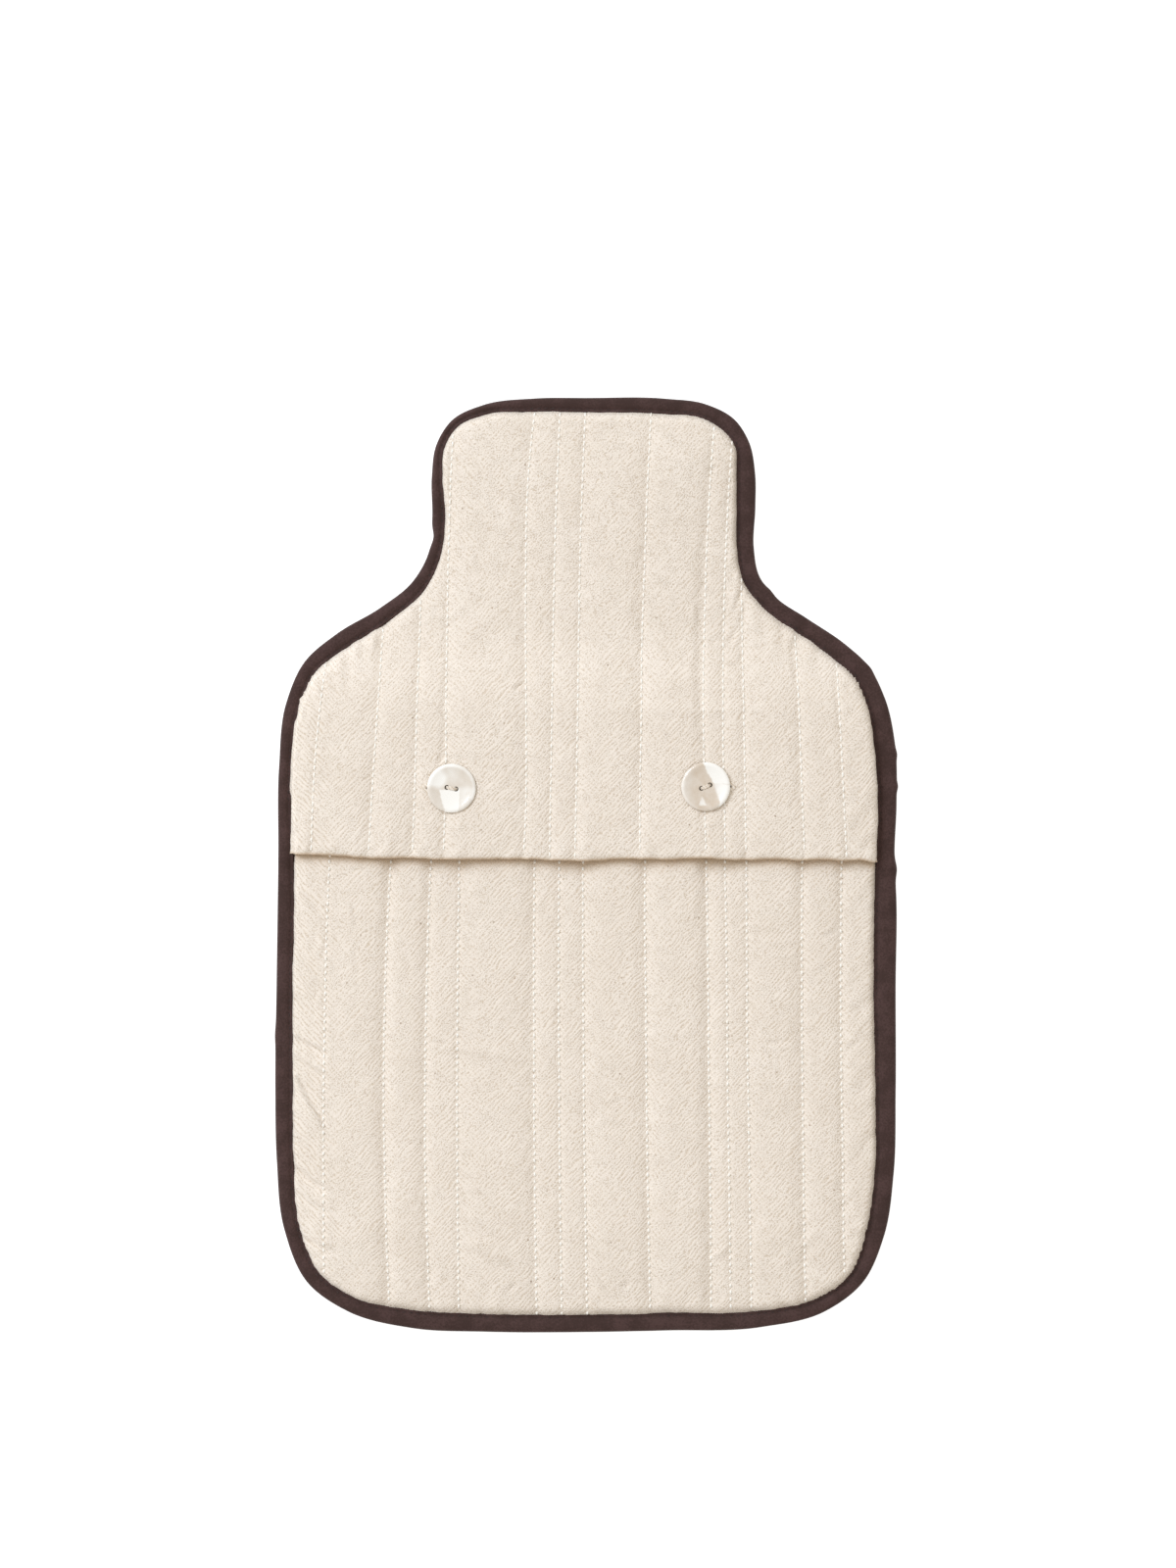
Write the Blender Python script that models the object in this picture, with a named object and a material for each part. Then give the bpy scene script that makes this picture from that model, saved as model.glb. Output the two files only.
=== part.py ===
"""Quilted cloth cover for a hot water bottle, lying empty and buttoned on its back.

A back panel, a lower front panel and an upper front panel are quilted in channels that
run from the bottom to the neck. The upper panel is a flap that laps over the lower one,
its two buttonholes closed by two shell buttons, and one strip of binding closes the raw
edges all round.

Frame: X across, +Y towards the neck, +Z up, with the origin at the middle of the cover
on the surface that it lies on. Sizes are in millimetres until a mesh is made.
"""
import math

import bmesh
import bpy
import numpy as np
from mathutils.geometry import delaunay_2d_cdt

MM = 0.001

# The edge of the cover, clockwise from the middle of the neck's top, with the width of
# the binding's lap on the front: the strip was sewn by hand, so it is uneven.
OUTLINE = (
    # place                        across   along    lap
    ("neck top, middle",              0.6,  181.4,  5.9),
    ("neck top, right",              31.0,  181.1,  6.3),
    ("neck corner right, start",     46.4,  179.0,  6.0),
    ("neck corner right",            57.8,  172.9,  6.6),
    ("neck corner right, end",       63.3,  164.3,  6.0),
    ("neck side right, upper",       65.7,  152.0,  7.4),
    ("neck side right, middle",      65.8,  139.0,  7.6),
    ("neck side right, lower",       65.2,  123.0,  6.8),
    ("neck foot right, start",       67.4,  112.0,  6.6),
    ("neck foot right",              73.4,  104.3,  6.6),
    ("neck foot right, end",         85.8,   95.8,  6.9),
    ("shoulder right, start",       100.6,   85.8,  7.6),
    ("shoulder right",              109.6,   77.4,  7.6),
    ("shoulder right, end",         116.0,   65.0,  7.9),
    ("side right, upper",           120.0,   47.0,  8.6),
    ("side right, above the flap",  120.6,   24.0,  7.7),
    ("side right, at the flap",     119.8,    3.0,  7.5),
    ("side right, below the flap",  120.6,  -14.0,  8.9),
    ("side right, middle",          120.3,  -46.0,  8.9),
    ("side right, lower",           120.3,  -88.0,  8.2),
    ("bottom right, start",         119.5, -120.0,  7.6),
    ("bottom right, upper",         115.8, -144.0,  7.6),
    ("bottom right",                107.4, -162.3,  6.4),
    ("bottom right, lower",          92.4, -173.6,  6.3),
    ("bottom right, end",            68.0, -179.5,  6.7),
    ("bottom edge, right",           31.0, -180.8,  7.2),
    ("bottom edge, middle",           0.0, -181.4,  7.1),
    ("bottom edge, left",           -38.0, -181.3,  7.3),
    ("bottom left, start",          -68.0, -179.8,  7.3),
    ("bottom left, lower",          -92.0, -173.6,  6.3),
    ("bottom left",                -108.0, -162.4,  6.3),
    ("bottom left, upper",         -117.2, -141.5,  6.5),
    ("bottom left, end",           -120.1, -115.0,  6.9),
    ("side left, lower",           -120.7,  -88.0,  7.2),
    ("side left, middle",          -120.2,  -46.0,  6.5),
    ("side left, below the flap",  -119.8,  -18.0,  6.8),
    ("side left, at the flap",     -119.5,    4.0,  6.2),
    ("side left, upper",           -119.2,   38.0,  5.4),
    ("shoulder left, start",       -116.4,   63.0,  5.8),
    ("shoulder left",              -109.3,   78.9,  6.2),
    ("shoulder left, end",          -96.8,   89.8,  7.0),
    ("neck foot left, start",       -79.6,  100.1,  6.3),
    ("neck foot left",              -67.4,  110.0,  5.9),
    ("neck foot left, end",         -61.5,  120.3,  5.2),
    ("neck side left, lower",       -59.8,  134.0,  5.4),
    ("neck side left, upper",       -59.9,  151.0,  4.5),
    ("neck corner left, start",     -58.2,  163.0,  3.6),
    ("neck corner left",            -52.0,  172.8,  3.6),
    ("neck corner left, end",       -39.8,  178.7,  4.2),
    ("neck top, left",              -20.0,  181.2,  5.4),
)

# The lines of stitches, from left to right: how far across they are at three heights.
# The lower panel's and the flap's lines don't meet, because they are two pieces of cloth.
LOWER_HEIGHTS = (-165.0, -80.0, 0.0)
LOWER_LINES = (
    # bottom  middle   mouth
    (-99.0, -101.0,  -99.2),
    (-76.4,  -78.6,  -76.4),
    (-60.8,  -62.7,  -60.8),
    (-49.0,  -49.8,  -49.2),
    (-18.6,  -19.6,  -20.2),
    (-8.8,    -9.8,  -10.4),
    (1.0,     -0.1,   -0.7),
    (24.8,    23.6,   22.8),
    (48.6,    47.6,   46.9),
    (56.2,    55.2,   54.4),
    (64.4,    63.4,   62.6),
    (85.6,    84.4,   83.7),
    (100.2,   99.2,   98.4),
)
FLAP_HEIGHTS = (2.0, 75.0, 170.0)
FLAP_LINES = (
    # edge  shoulder    neck
    (-106.4, -100.2,  -92.0),
    (-83.5,   -78.2,  -74.0),
    (-66.9,   -64.8,  -62.6),
    (-54.8,   -54.2,  -51.2),
    (-23.9,   -22.4,  -20.3),
    (-13.7,   -12.2,  -10.1),
    (-3.7,     -2.2,   -0.2),
    (22.1,     23.3,   24.9),
    (46.8,     45.9,   49.4),
    (53.8,     53.0,   56.9),
    (62.3,     61.3,   59.6),
    (85.0,     81.9,   78.0),
    (100.7,    97.0,   93.0),
)
# The back is one piece, quilted at the same spacing in straight lines.
BACK_HEIGHTS = (-165.0, 0.0, 165.0)
BACK_LINES = tuple((middle, middle, middle) for _, middle, _ in LOWER_LINES)
OUTER_CHANNEL = 28.0        # width that the first and last channel would have if not bound

# Layers, from the back of the cover to the front
TAPE = 1.0                  # the binding's cloth, folded in under itself
TAPE_ROUND = 1.25           # its bend round the edge of the cover
LAP_ROUND = (0.7, 0.45)     # and its folded front edge: along the cover, and down
GAP = 0.3                   # between two layers that touch
PRESSED = 1.2               # a quilted layer inside the binding
SEWN = 1.5                  # a quilted layer at a line of stitches
PUFF = 2.1                  # what a wide channel swells by beyond that
WIDE = 24.0                 # a channel this wide swells in full
CROWN_POWER = 2.2           # how full a channel's section is: 2 would be a parabola
FLAT_CROWN = 0.62           # share of the puff at which the back's underside lies flat
GROOVE = 0.9                # how deep a line of stitches draws in the back's underside
PANEL_INSET = 1.8           # from the outline to the panels' own cut edges
HOLLOW = 5.4                # height inside the empty cover
FLAP_REST = 0.7             # from the lower panel to the flap lying on it
ARCH = 36.0                 # distance from the binding over which a panel rises
LIFT_IN = 8.0               # distance over which the back comes down from the binding
SWELL_IN = 9.0              # distance from the binding over which a channel swells

BACK_LOFT = SEWN + PUFF
REST_LEVEL = TAPE + GAP                                     # underside of the back's edge
FRONT_EDGE = REST_LEVEL + PRESSED + GAP + PRESSED / 2       # middle of a front layer's edge
FRONT_CROWN = BACK_LOFT + HOLLOW + BACK_LOFT / 2
RIM_TWO = FRONT_EDGE + PRESSED / 2 + GAP + TAPE             # the binding over two layers
RIM_THREE = RIM_TWO + PRESSED + GAP                         # and where the flap laps over

# The flap's folded edge, and the lower panel's edge hidden under it
FLAP_EDGE_LEFT, FLAP_EDGE_RIGHT = 3.7, 0.7
FLAP_EDGE_WAVE, FLAP_WAVE_LENGTH = 0.5, 44.0
SIDE = 120.0                # the outline's sides, where those two edges end
HIDDEN_EDGE = 58.0
FOLD_ROUND = 2.4            # how far in from a fold the layer is rounded
FOLD_LEAST = 0.42           # share of the layer's thickness left at the fold itself
EDGE_FALL = 7.0             # the flap's edge comes down this far past the hidden edge
CROWN_FALL = 34.0           # and its crown takes this far
RIM_STEP = 7.0              # the binding climbs over the flap's fold in this distance
RIM_CLEAR = 0.8             # and is at its full height this far before the fold
FLAP_LIFTS = (
    # across  half width  height: where the flap's edge stands off the lower panel
    (-54.0, 11.0, 0.7),
    (-3.0,  19.0, 0.8),
    (53.0,   9.0, 0.7),
)
LIFT_REACH = 16.0

# Slow rise and fall of the front along and across
SWAYS = (
    # height  wave across  wave along  start
    (0.32, 195.0, 0.0, 0.6),
    (0.26, 0.0, 148.0, 1.9),
    (0.18, 383.0, 145.0, 0.0),
)

# Buttons and their holes
BUTTONS = (
    # name   across  along  turn of the two holes, slot's shift outward
    ("left", -51.9, 29.5, -12.0, -0.6),
    ("right", 46.5, 30.3, 22.0, 0.6),
)
BUTTON_RADIUS = 9.5
BUTTON_SECTION = (
    # in from the rim, up: the underside, the rounded rim, and down into the dished face
    (1.6, 0.0), (0.3, 0.8), (0.0, 1.4), (0.4, 2.3), (1.3, 2.6), (2.7, 2.45), (4.3, 1.9),
)
BUTTON_FACE = 1.8           # height of the dish's middle
BUTTON_HOLE = 0.95
HOLE_REACH = 1.65           # from the button's middle to each hole
SLOT_HALF, SLOT_WIDE = 9.6, 1.5
SLOT_PRESS = 4.5            # the cloth is sewn flat for this far round a slot
SEAT_THICK = 2.1            # the cloth under a button
SEAT_RADIUS, SEAT_BLEND = 10.3, 6.0
SEAT_SINK = 0.8             # how far a button draws the flap down
THREAD = 0.55               # radius of the thread's turns, taken as one
THREAD_BEND = 0.5
BAR_CLEAR = 0.15            # the thread stands this much more off the middle of the face

# Spacing of the mesh
EDGE_STEP = 9.0
ROW_STEP, BACK_ROW_STEP = 18.0, 20.0
RINGS = (0.5, 4.0, 10.5)    # rows that follow the binding, from its front edge inward
FOLD_ROWS = (1.0, 2.6, 8.0)
FLANKED = 18.0              # a channel wider than this has points on its flanks too
COLUMN_CLEAR = 2.4          # least distance from one row of points to another
FINE = 1.0
MET = 0.05                  # a point this near a level is on it
TURN_STEPS = 32             # sides of a button
HOLE_STEPS = 12
SLOT_STEPS = 16
THREAD_SIDES = 8

COLOURS = {
    # name                  linear red, green, blue, roughness
    "quilted cotton": (0.80, 0.73, 0.63, 0.92),
    "brown binding": (0.075, 0.045, 0.040, 0.88),
    "shell button": (0.78, 0.76, 0.70, 0.25),
    "sewing thread": (0.85, 0.82, 0.75, 0.80),
}


# ---------------------------------------------------------------- shapes in the plane

def smooth(value):
    """A step from 0 to 1 that starts and ends level."""
    t = np.clip(value, 0.0, 1.0)
    return t * t * (3.0 - 2.0 * t)


def closed_curve(rows):
    """Points FINE apart on a smooth closed curve through the rows."""
    rows = np.asarray(rows, dtype=float)
    ahead = np.roll(rows, -1, axis=0) - rows
    length = np.linalg.norm(ahead[:, :2], axis=1)[:, None]
    before = np.roll(length, 1, axis=0)
    slope = ahead / length
    tangent = (slope * before + np.roll(slope, 1, axis=0) * length) / (length + before)
    curve = []
    for i, start in enumerate(rows):
        j = (i + 1) % len(rows)
        t = np.arange(0.0, 1.0, FINE / length[i, 0])[:, None]
        curve.append((2 * t**3 - 3 * t**2 + 1) * start + (3 * t**2 - 2 * t**3) * rows[j]
                     + (t**3 - 2 * t**2 + t) * length[i] * tangent[i]
                     + (t**3 - t**2) * length[i] * tangent[j])
    return np.vstack(curve)


def stations(curve, step, levels):
    """Places about step apart on a closed curve, and one wherever a level crosses zero."""
    closed = np.vstack([curve, curve[:1]])
    along = np.concatenate(([0.0], np.cumsum(np.linalg.norm(np.diff(closed[:, :2], axis=0), axis=1))))
    count = round(along[-1] / step)
    even = np.arange(count) * along[-1] / count
    for level in levels:
        height = level(closed)
        k = np.nonzero((height[:-1] > 0) != (height[1:] > 0))[0]
        met = along[k] + (along[k + 1] - along[k]) * height[k] / (height[k] - height[k + 1])
        for place in met:
            clear = np.abs(even - place) > step / 3
            even = np.sort(np.append(even[clear], place))
    return np.stack([np.interp(even, along, column) for column in closed.T], axis=1)


def inward(points):
    """The unit direction into the cover at each point of a clockwise outline."""
    ahead = np.roll(points, -1, axis=0) - np.roll(points, 1, axis=0)
    across = np.stack([ahead[:, 1], -ahead[:, 0]], axis=1)
    return across / np.linalg.norm(across, axis=1)[:, None]


def flap_edge(x):
    """How far along the flap's folded edge lies."""
    share = (np.asarray(x) + SIDE) / (2 * SIDE)
    slope = FLAP_EDGE_LEFT + (FLAP_EDGE_RIGHT - FLAP_EDGE_LEFT) * share
    return slope + FLAP_EDGE_WAVE * np.sin(np.asarray(x) / FLAP_WAVE_LENGTH * math.pi)


def past_fold(points):
    """How far past the flap's fold each point lies, towards the neck."""
    return points[:, 1] - flap_edge(points[:, 0])


def hidden_edge(x):
    """How far along the lower panel's hidden edge lies."""
    return np.full_like(x, HIDDEN_EDGE)


def past_hidden(points):
    """How far past the lower panel's hidden edge each point lies, towards the neck."""
    return points[:, 1] - HIDDEN_EDGE


# The binding follows every change of height at the flap's fold and at the hidden edge.
RIM_CHANGES = (
    lambda points: past_fold(points) + RIM_STEP,
    lambda points: past_fold(points) + RIM_STEP / 2,
    past_fold,
    past_hidden,
    lambda points: past_hidden(points) - EDGE_FALL / 2,
    lambda points: past_hidden(points) - EDGE_FALL,
)
OUTLINE_FINE = closed_curve([row[1:] for row in OUTLINE])
OUTLINE_COARSE = stations(OUTLINE_FINE, EDGE_STEP, RIM_CHANGES)


def from_edge(xy):
    """Each point's distance in from the outline, and the binding's lap beside it."""
    start, end = OUTLINE_FINE, np.roll(OUTLINE_FINE, -1, axis=0)
    run = end[:, :2] - start[:, :2]
    offset = xy[:, None, :] - start[None, :, :2]
    share = np.clip((offset * run).sum(2) / (run * run).sum(1), 0.0, 1.0)
    gap = np.linalg.norm(offset - share[:, :, None] * run, axis=2)
    nearest = gap.argmin(axis=1)
    rows = np.arange(len(xy))
    share = share[rows, nearest]
    lap = start[nearest, 2] * (1.0 - share) + end[nearest, 2] * share
    return gap[rows, nearest], lap


def past_binding(xy):
    """Each point's distance in from the front edge of the binding."""
    distance, lap = from_edge(xy)
    return distance - lap


def inside(polygon, xy):
    """Whether each point lies inside a polygon."""
    x, y = xy[:, 0, None], xy[:, 1, None]
    x1, y1 = polygon[:, 0], polygon[:, 1]
    x2, y2 = np.roll(x1, -1), np.roll(y1, -1)
    spans = (y1 > y) != (y2 > y)
    level = np.where(y2 == y1, 1.0, y2 - y1)
    crosses = spans & (x < x1 + (y - y1) / level * (x2 - x1))
    return crosses.sum(axis=1) % 2 == 1


def lines_across(lines, heights, y):
    """Where each line of stitches is at the heights y, one row for each line."""
    low, middle, high = heights
    lines = np.asarray(lines, dtype=float)
    y = np.asarray(y, dtype=float)[None, :]
    return (lines[:, :1] * (y - middle) * (y - high) / ((low - middle) * (low - high))
            + lines[:, 1:2] * (y - low) * (y - high) / ((middle - low) * (middle - high))
            + lines[:, 2:] * (y - low) * (y - middle) / ((high - low) * (high - middle)))


def channels(lines, heights, y):
    """The lines of stitches with one more on each side, closing the outer channels."""
    across = lines_across(lines, heights, y)
    return np.vstack([across[:1] - OUTER_CHANNEL, across, across[-1:] + OUTER_CHANNEL])


# ---------------------------------------------------------------- heights of the layers

def puff(xy, lines, heights):
    """How much each point swells: 0 on a line of stitches, up to PUFF on a crown."""
    across = channels(lines, heights, xy[:, 1])
    channel = np.clip((across <= xy[:, 0]).sum(axis=0), 1, len(across) - 1)
    rows = np.arange(len(xy))
    left, right = across[channel - 1, rows], across[channel, rows]
    share = np.clip((xy[:, 0] - left) / (right - left), 0.0, 1.0)
    crown = 1.0 - np.abs(2.0 * share - 1.0) ** CROWN_POWER
    return crown, PUFF * np.sqrt(np.clip((right - left) / WIDE, 0.0, 1.0))


def thickness(xy, lines, heights):
    """How thick a quilted layer is: pressed in the binding, drawn in by the stitches."""
    crown, swell = puff(xy, lines, heights)
    full = SEWN + crown * swell
    return PRESSED + (full - PRESSED) * smooth(past_binding(xy) / SWELL_IN)


def arch(xy):
    """0 at the binding, rising to 1 over the middle of the cover."""
    rise = np.clip(past_binding(xy) / ARCH, 0.0, 1.0)
    return 1.0 - (1.0 - rise) ** 2


def sway(xy):
    """The slow unevenness of the front."""
    total = np.zeros(len(xy))
    for height, across, along, start in SWAYS:
        turn = start + (xy[:, 0] * 2 * math.pi / across if across else 0.0)
        turn = turn + (xy[:, 1] * 2 * math.pi / along if along else 0.0)
        total += height * np.sin(turn)
    return total


def near_button(xy):
    """1 where a button presses on the cloth, falling to 0 round it."""
    press = np.zeros(len(xy))
    for _, x, y, _, _ in BUTTONS:
        reach = np.hypot(xy[:, 0] - x, xy[:, 1] - y)
        press = np.maximum(press, 1.0 - smooth((reach - SEAT_RADIUS) / SEAT_BLEND))
    return press


def fold_share(distance):
    """The share of a layer's thickness left at a distance in from its fold."""
    t = np.clip(distance / FOLD_ROUND, 0.0, 1.0)
    return FOLD_LEAST + (1.0 - FOLD_LEAST) * np.sqrt(1.0 - (1.0 - t) ** 2)


def back_surfaces(xy):
    """Top and underside of the back panel, which lies flat on its channels."""
    lift = 1.0 - smooth(past_binding(xy) / LIFT_IN)
    crown, _ = puff(xy, BACK_LINES, BACK_HEIGHTS)
    groove = GROOVE * (1.0 - np.clip(crown / FLAT_CROWN, 0.0, 1.0))
    under = REST_LEVEL * lift + groove * (1.0 - lift)
    return under + thickness(xy, BACK_LINES, BACK_HEIGHTS), under


def front_level(xy):
    """The middle of the front's first layer, rising from the binding to the crown."""
    return FRONT_EDGE + (FRONT_CROWN + sway(xy) - FRONT_EDGE) * arch(xy)


def lower_surfaces(xy):
    """Top and underside of the lower front panel."""
    level = front_level(xy)
    thick = thickness(xy, LOWER_LINES, LOWER_HEIGHTS)
    thick = thick + (np.minimum(thick, SEAT_THICK) - thick) * near_button(xy)
    thick = thick * fold_share(-past_hidden(xy))
    return level + thick / 2, level - thick / 2


def flap_surfaces(xy):
    """Top and underside of the upper front panel, lying on the lower one at first."""
    past = past_hidden(xy) - GAP
    swell = smooth(past_binding(xy) / SWELL_IN)
    apart = (1.0 - swell) * (PRESSED + GAP) * (1.0 - smooth(past / EDGE_FALL))
    apart = apart + swell * (BACK_LOFT + FLAP_REST) * (1.0 - smooth(past / CROWN_FALL))
    pressed = near_button(xy)
    from_fold = past_fold(xy)
    lifted = sum(height * np.exp(-((xy[:, 0] - x) / half) ** 2) for x, half, height in FLAP_LIFTS)
    lifted = lifted * np.exp(-np.clip(from_fold, 0.0, None) / LIFT_REACH)
    level = front_level(xy) + apart + (lifted - SEAT_SINK * pressed) * swell
    thick = thickness(xy, FLAP_LINES, FLAP_HEIGHTS)
    thick = thick + (np.minimum(thick, SEAT_THICK) - thick) * pressed
    thick = thick * fold_share(from_fold)
    return level + thick / 2, level - thick / 2


def rim_height(xy):
    """How high the binding stands: over two layers, or three where the flap laps over."""
    up = smooth((past_fold(xy) + RIM_STEP) / (RIM_STEP - RIM_CLEAR))
    down = 1.0 - smooth((past_hidden(xy) - GAP) / EDGE_FALL)
    return RIM_TWO + (RIM_THREE - RIM_TWO) * up * down


# ---------------------------------------------------------------- meshes

def material(name):
    """A plain material of the named colour."""
    red, green, blue, rough = COLOURS[name]
    made = bpy.data.materials.new(name)
    made.use_nodes = True
    shader = made.node_tree.nodes["Principled BSDF"]
    shader.inputs["Base Color"].default_value = (red, green, blue, 1.0)
    shader.inputs["Roughness"].default_value = rough
    shader.inputs["Metallic"].default_value = 0.0
    return made


def add_object(name, points, faces, colour, smooth_angle=40.0):
    """An object of the points in millimetres, its faces all turned outward."""
    mesh = bpy.data.meshes.new(name)
    mesh.from_pydata([tuple(float(v) * MM for v in point) for point in points], [], faces)
    shape = bmesh.new()
    shape.from_mesh(mesh)
    bmesh.ops.recalc_face_normals(shape, faces=shape.faces)
    if shape.calc_volume(signed=True) < 0:
        bmesh.ops.reverse_faces(shape, faces=shape.faces)
    shape.to_mesh(mesh)
    shape.free()
    mesh.shade_smooth()
    mesh.set_sharp_from_angle(angle=math.radians(smooth_angle))
    mesh.materials.append(colour)
    made = bpy.data.objects.new(name, mesh)
    bpy.context.scene.collection.objects.link(made)
    return made


def column_places(lines, heights, y):
    """Where a row of the mesh has its points at height y: lines, crowns and flanks."""
    across = channels(lines, heights, [y])[:, 0]
    places = []
    for left, right in zip(across[:-1], across[1:]):
        parts = 4 if right - left > FLANKED else 2
        places += [left + (right - left) * k / parts for k in range(parts)]
    return places[1:]


def bound_edge():
    """The cut edge that the binding holds, all round."""
    return OUTLINE_COARSE[:, :2] + inward(OUTLINE_COARSE[:, :2]) * PANEL_INSET


def side_edge(beyond, edge):
    """The part of the cut edge past a free edge, which both its ends meet.

    The outline has a point wherever a free edge meets it, so the cut edge ends just there.
    """
    kept = beyond(OUTLINE_COARSE) > -MET
    first = int(np.nonzero(kept & ~np.roll(kept, 1))[0][0])
    side = np.roll(bound_edge(), -first, axis=0)[np.roll(kept, -first)]
    for end in (0, -1):
        side[end, 1] = edge(side[end, 0])
    return side


def slot_loop(x, y, shift, grow=0.0):
    """A buttonhole's edge: a slit that its button's shank holds a little open."""
    turn = np.arange(SLOT_STEPS) * 2 * math.pi / SLOT_STEPS
    across = x + shift + (SLOT_HALF + grow) * np.cos(turn)
    return np.stack([across, y + (SLOT_WIDE + grow) * np.sin(turn)], axis=1)


def cut_line(start, end, edge, lines, heights):
    """Points along a panel's free edge, from one side of the cover to the other."""
    low, high = min(start[0], end[0]) + COLUMN_CLEAR, max(start[0], end[0]) - COLUMN_CLEAR
    across = [x for x in column_places(lines, heights, float(edge(0.0))) if low < x < high]
    return np.stack([across, edge(np.array(across))], axis=1)


class Plan:
    """The flat pattern of a panel: points, the lines that join them, and its triangles."""

    def __init__(self, outline):
        self.points, self.edges, self.holes = [], [], []
        self.outline = outline
        self.add_line(outline, closed=True)

    def add_line(self, points, closed=False):
        """Add a row of joined points."""
        first, count = len(self.points), len(points)
        self.points += [tuple(point) for point in points]
        self.edges += [(first + k, first + (k + 1) % count) for k in range(count if closed else count - 1)]

    def add_hole(self, points):
        """Add the edge of a hole."""
        self.holes.append(points)
        self.add_line(points, closed=True)

    def triangles(self):
        """The triangles between all the points, inside the outline and out of the holes."""
        flat, _, faces, *_ = delaunay_2d_cdt(self.points, self.edges, [], 0, 1e-4)
        flat = np.array([tuple(point) for point in flat])
        faces = np.array(faces)
        middle = flat[faces].mean(axis=1)
        keep = inside(self.outline, middle)
        for hole in self.holes:
            keep &= ~inside(hole, middle)
        return flat, faces[keep]


def thick_panel(name, plan, surfaces, colour):
    """A closed solid between a panel's two surfaces."""
    flat, faces = plan.triangles()
    used = np.unique(faces)
    number = np.full(len(flat), -1)
    number[used] = np.arange(len(used))
    flat, faces = flat[used], number[faces]
    top, under = surfaces(flat)
    points = np.vstack([np.column_stack([flat, top]), np.column_stack([flat, under])])
    count = len(flat)
    solid = [tuple(int(v) for v in face) for face in faces]
    solid += [tuple(int(v) + count for v in face[::-1]) for face in faces]
    sides = {}
    for a, b, c in faces:
        for edge in ((a, b), (b, c), (c, a)):
            sides[tuple(sorted(edge))] = sides.get(tuple(sorted(edge)), 0) + 1
    for (a, b), uses in sides.items():
        if uses == 1:
            a, b = int(a), int(b)
            solid += [(a, b, b + count), (a, b + count, a + count)]
    return add_object(name, points, solid, colour)


def quilt_plan(outline, lines, heights, row_step, beyond, clear):
    """A panel's pattern, with rings beside the binding, lines of stitches and crowns.

    beyond says how far each point lies past the panel's free edge, and clear is how far
    past it the lines and crowns start.
    """
    plan = Plan(outline)
    for ring in RINGS:
        follow = OUTLINE_COARSE[:, :2] + inward(OUTLINE_COARSE[:, :2]) * (OUTLINE_COARSE[:, 2:] + ring)
        kept = beyond(follow) > -EDGE_STEP
        first = int(np.argmin(kept))
        plan.add_line(np.roll(follow, -first, axis=0)[np.roll(kept, -first)], closed=bool(kept.all()))

    def open_cloth(xy):
        return (beyond(xy) > clear) & inside(outline, xy) & (past_binding(xy) > RINGS[1] + COLUMN_CLEAR)

    low, high = outline[:, 1].min(), outline[:, 1].max()
    count = round((high - low) / row_step)
    rows = low + (np.arange(count) + 0.5) * (high - low) / count
    for line in lines_across(lines, heights, rows):
        run = np.stack([line, rows], axis=1)
        plan.add_line(run[open_cloth(run)])
    crowns = np.array([(x, y) for y in rows for x in column_places(lines, heights, y)])
    to_line = np.abs(crowns[:, 0] - lines_across(lines, heights, crowns[:, 1])).min(axis=0)
    plan.points += [tuple(point) for point in crowns[open_cloth(crowns) & (to_line > FINE)]]
    return plan


def back_panel(colour):
    """The back of the cover, in one piece."""
    def beyond(xy):
        return np.full(len(xy), SIDE)

    plan = quilt_plan(bound_edge(), BACK_LINES, BACK_HEIGHTS, BACK_ROW_STEP, beyond, 0.0)
    return thick_panel("back_panel", plan, back_surfaces, colour)


def front_lower_panel(colour):
    """The lower front panel, running on under the flap to its hidden edge."""
    def beyond(xy):
        return -past_hidden(xy)

    side = side_edge(beyond, hidden_edge)
    free = cut_line(side[-1], side[0], hidden_edge, LOWER_LINES, LOWER_HEIGHTS)
    plan = quilt_plan(np.vstack([side, free]), LOWER_LINES, LOWER_HEIGHTS, ROW_STEP, beyond,
                      FOLD_ROWS[-1] + COLUMN_CLEAR)
    for inset in FOLD_ROWS:
        plan.add_line(free - [0.0, inset])
    return thick_panel("front_lower_panel", plan, lower_surfaces, colour)


def front_upper_panel(colour):
    """The upper front panel: the neck, the shoulders and the buttoned flap."""
    def beyond(xy):
        near_slot = np.zeros(len(xy), dtype=bool)
        for _, x, y, _, shift in BUTTONS:
            near_slot |= inside(slot_loop(x, y, shift, SLOT_PRESS + COLUMN_CLEAR), xy)
        return np.where(near_slot, 0.0, past_fold(xy))

    side = side_edge(beyond, flap_edge)
    free = cut_line(side[-1], side[0], flap_edge, FLAP_LINES, FLAP_HEIGHTS)[::-1]
    plan = quilt_plan(np.vstack([side, free]), FLAP_LINES, FLAP_HEIGHTS, ROW_STEP, beyond,
                      FOLD_ROWS[-1] + COLUMN_CLEAR)
    for inset in FOLD_ROWS:
        plan.add_line(free + [0.0, inset])
    for _, x, y, _, shift in BUTTONS:
        plan.add_hole(slot_loop(x, y, shift))
        plan.add_line(slot_loop(x, y, shift, SLOT_PRESS), closed=True)
    return thick_panel("front_upper_panel", plan, flap_surfaces, colour)


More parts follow.
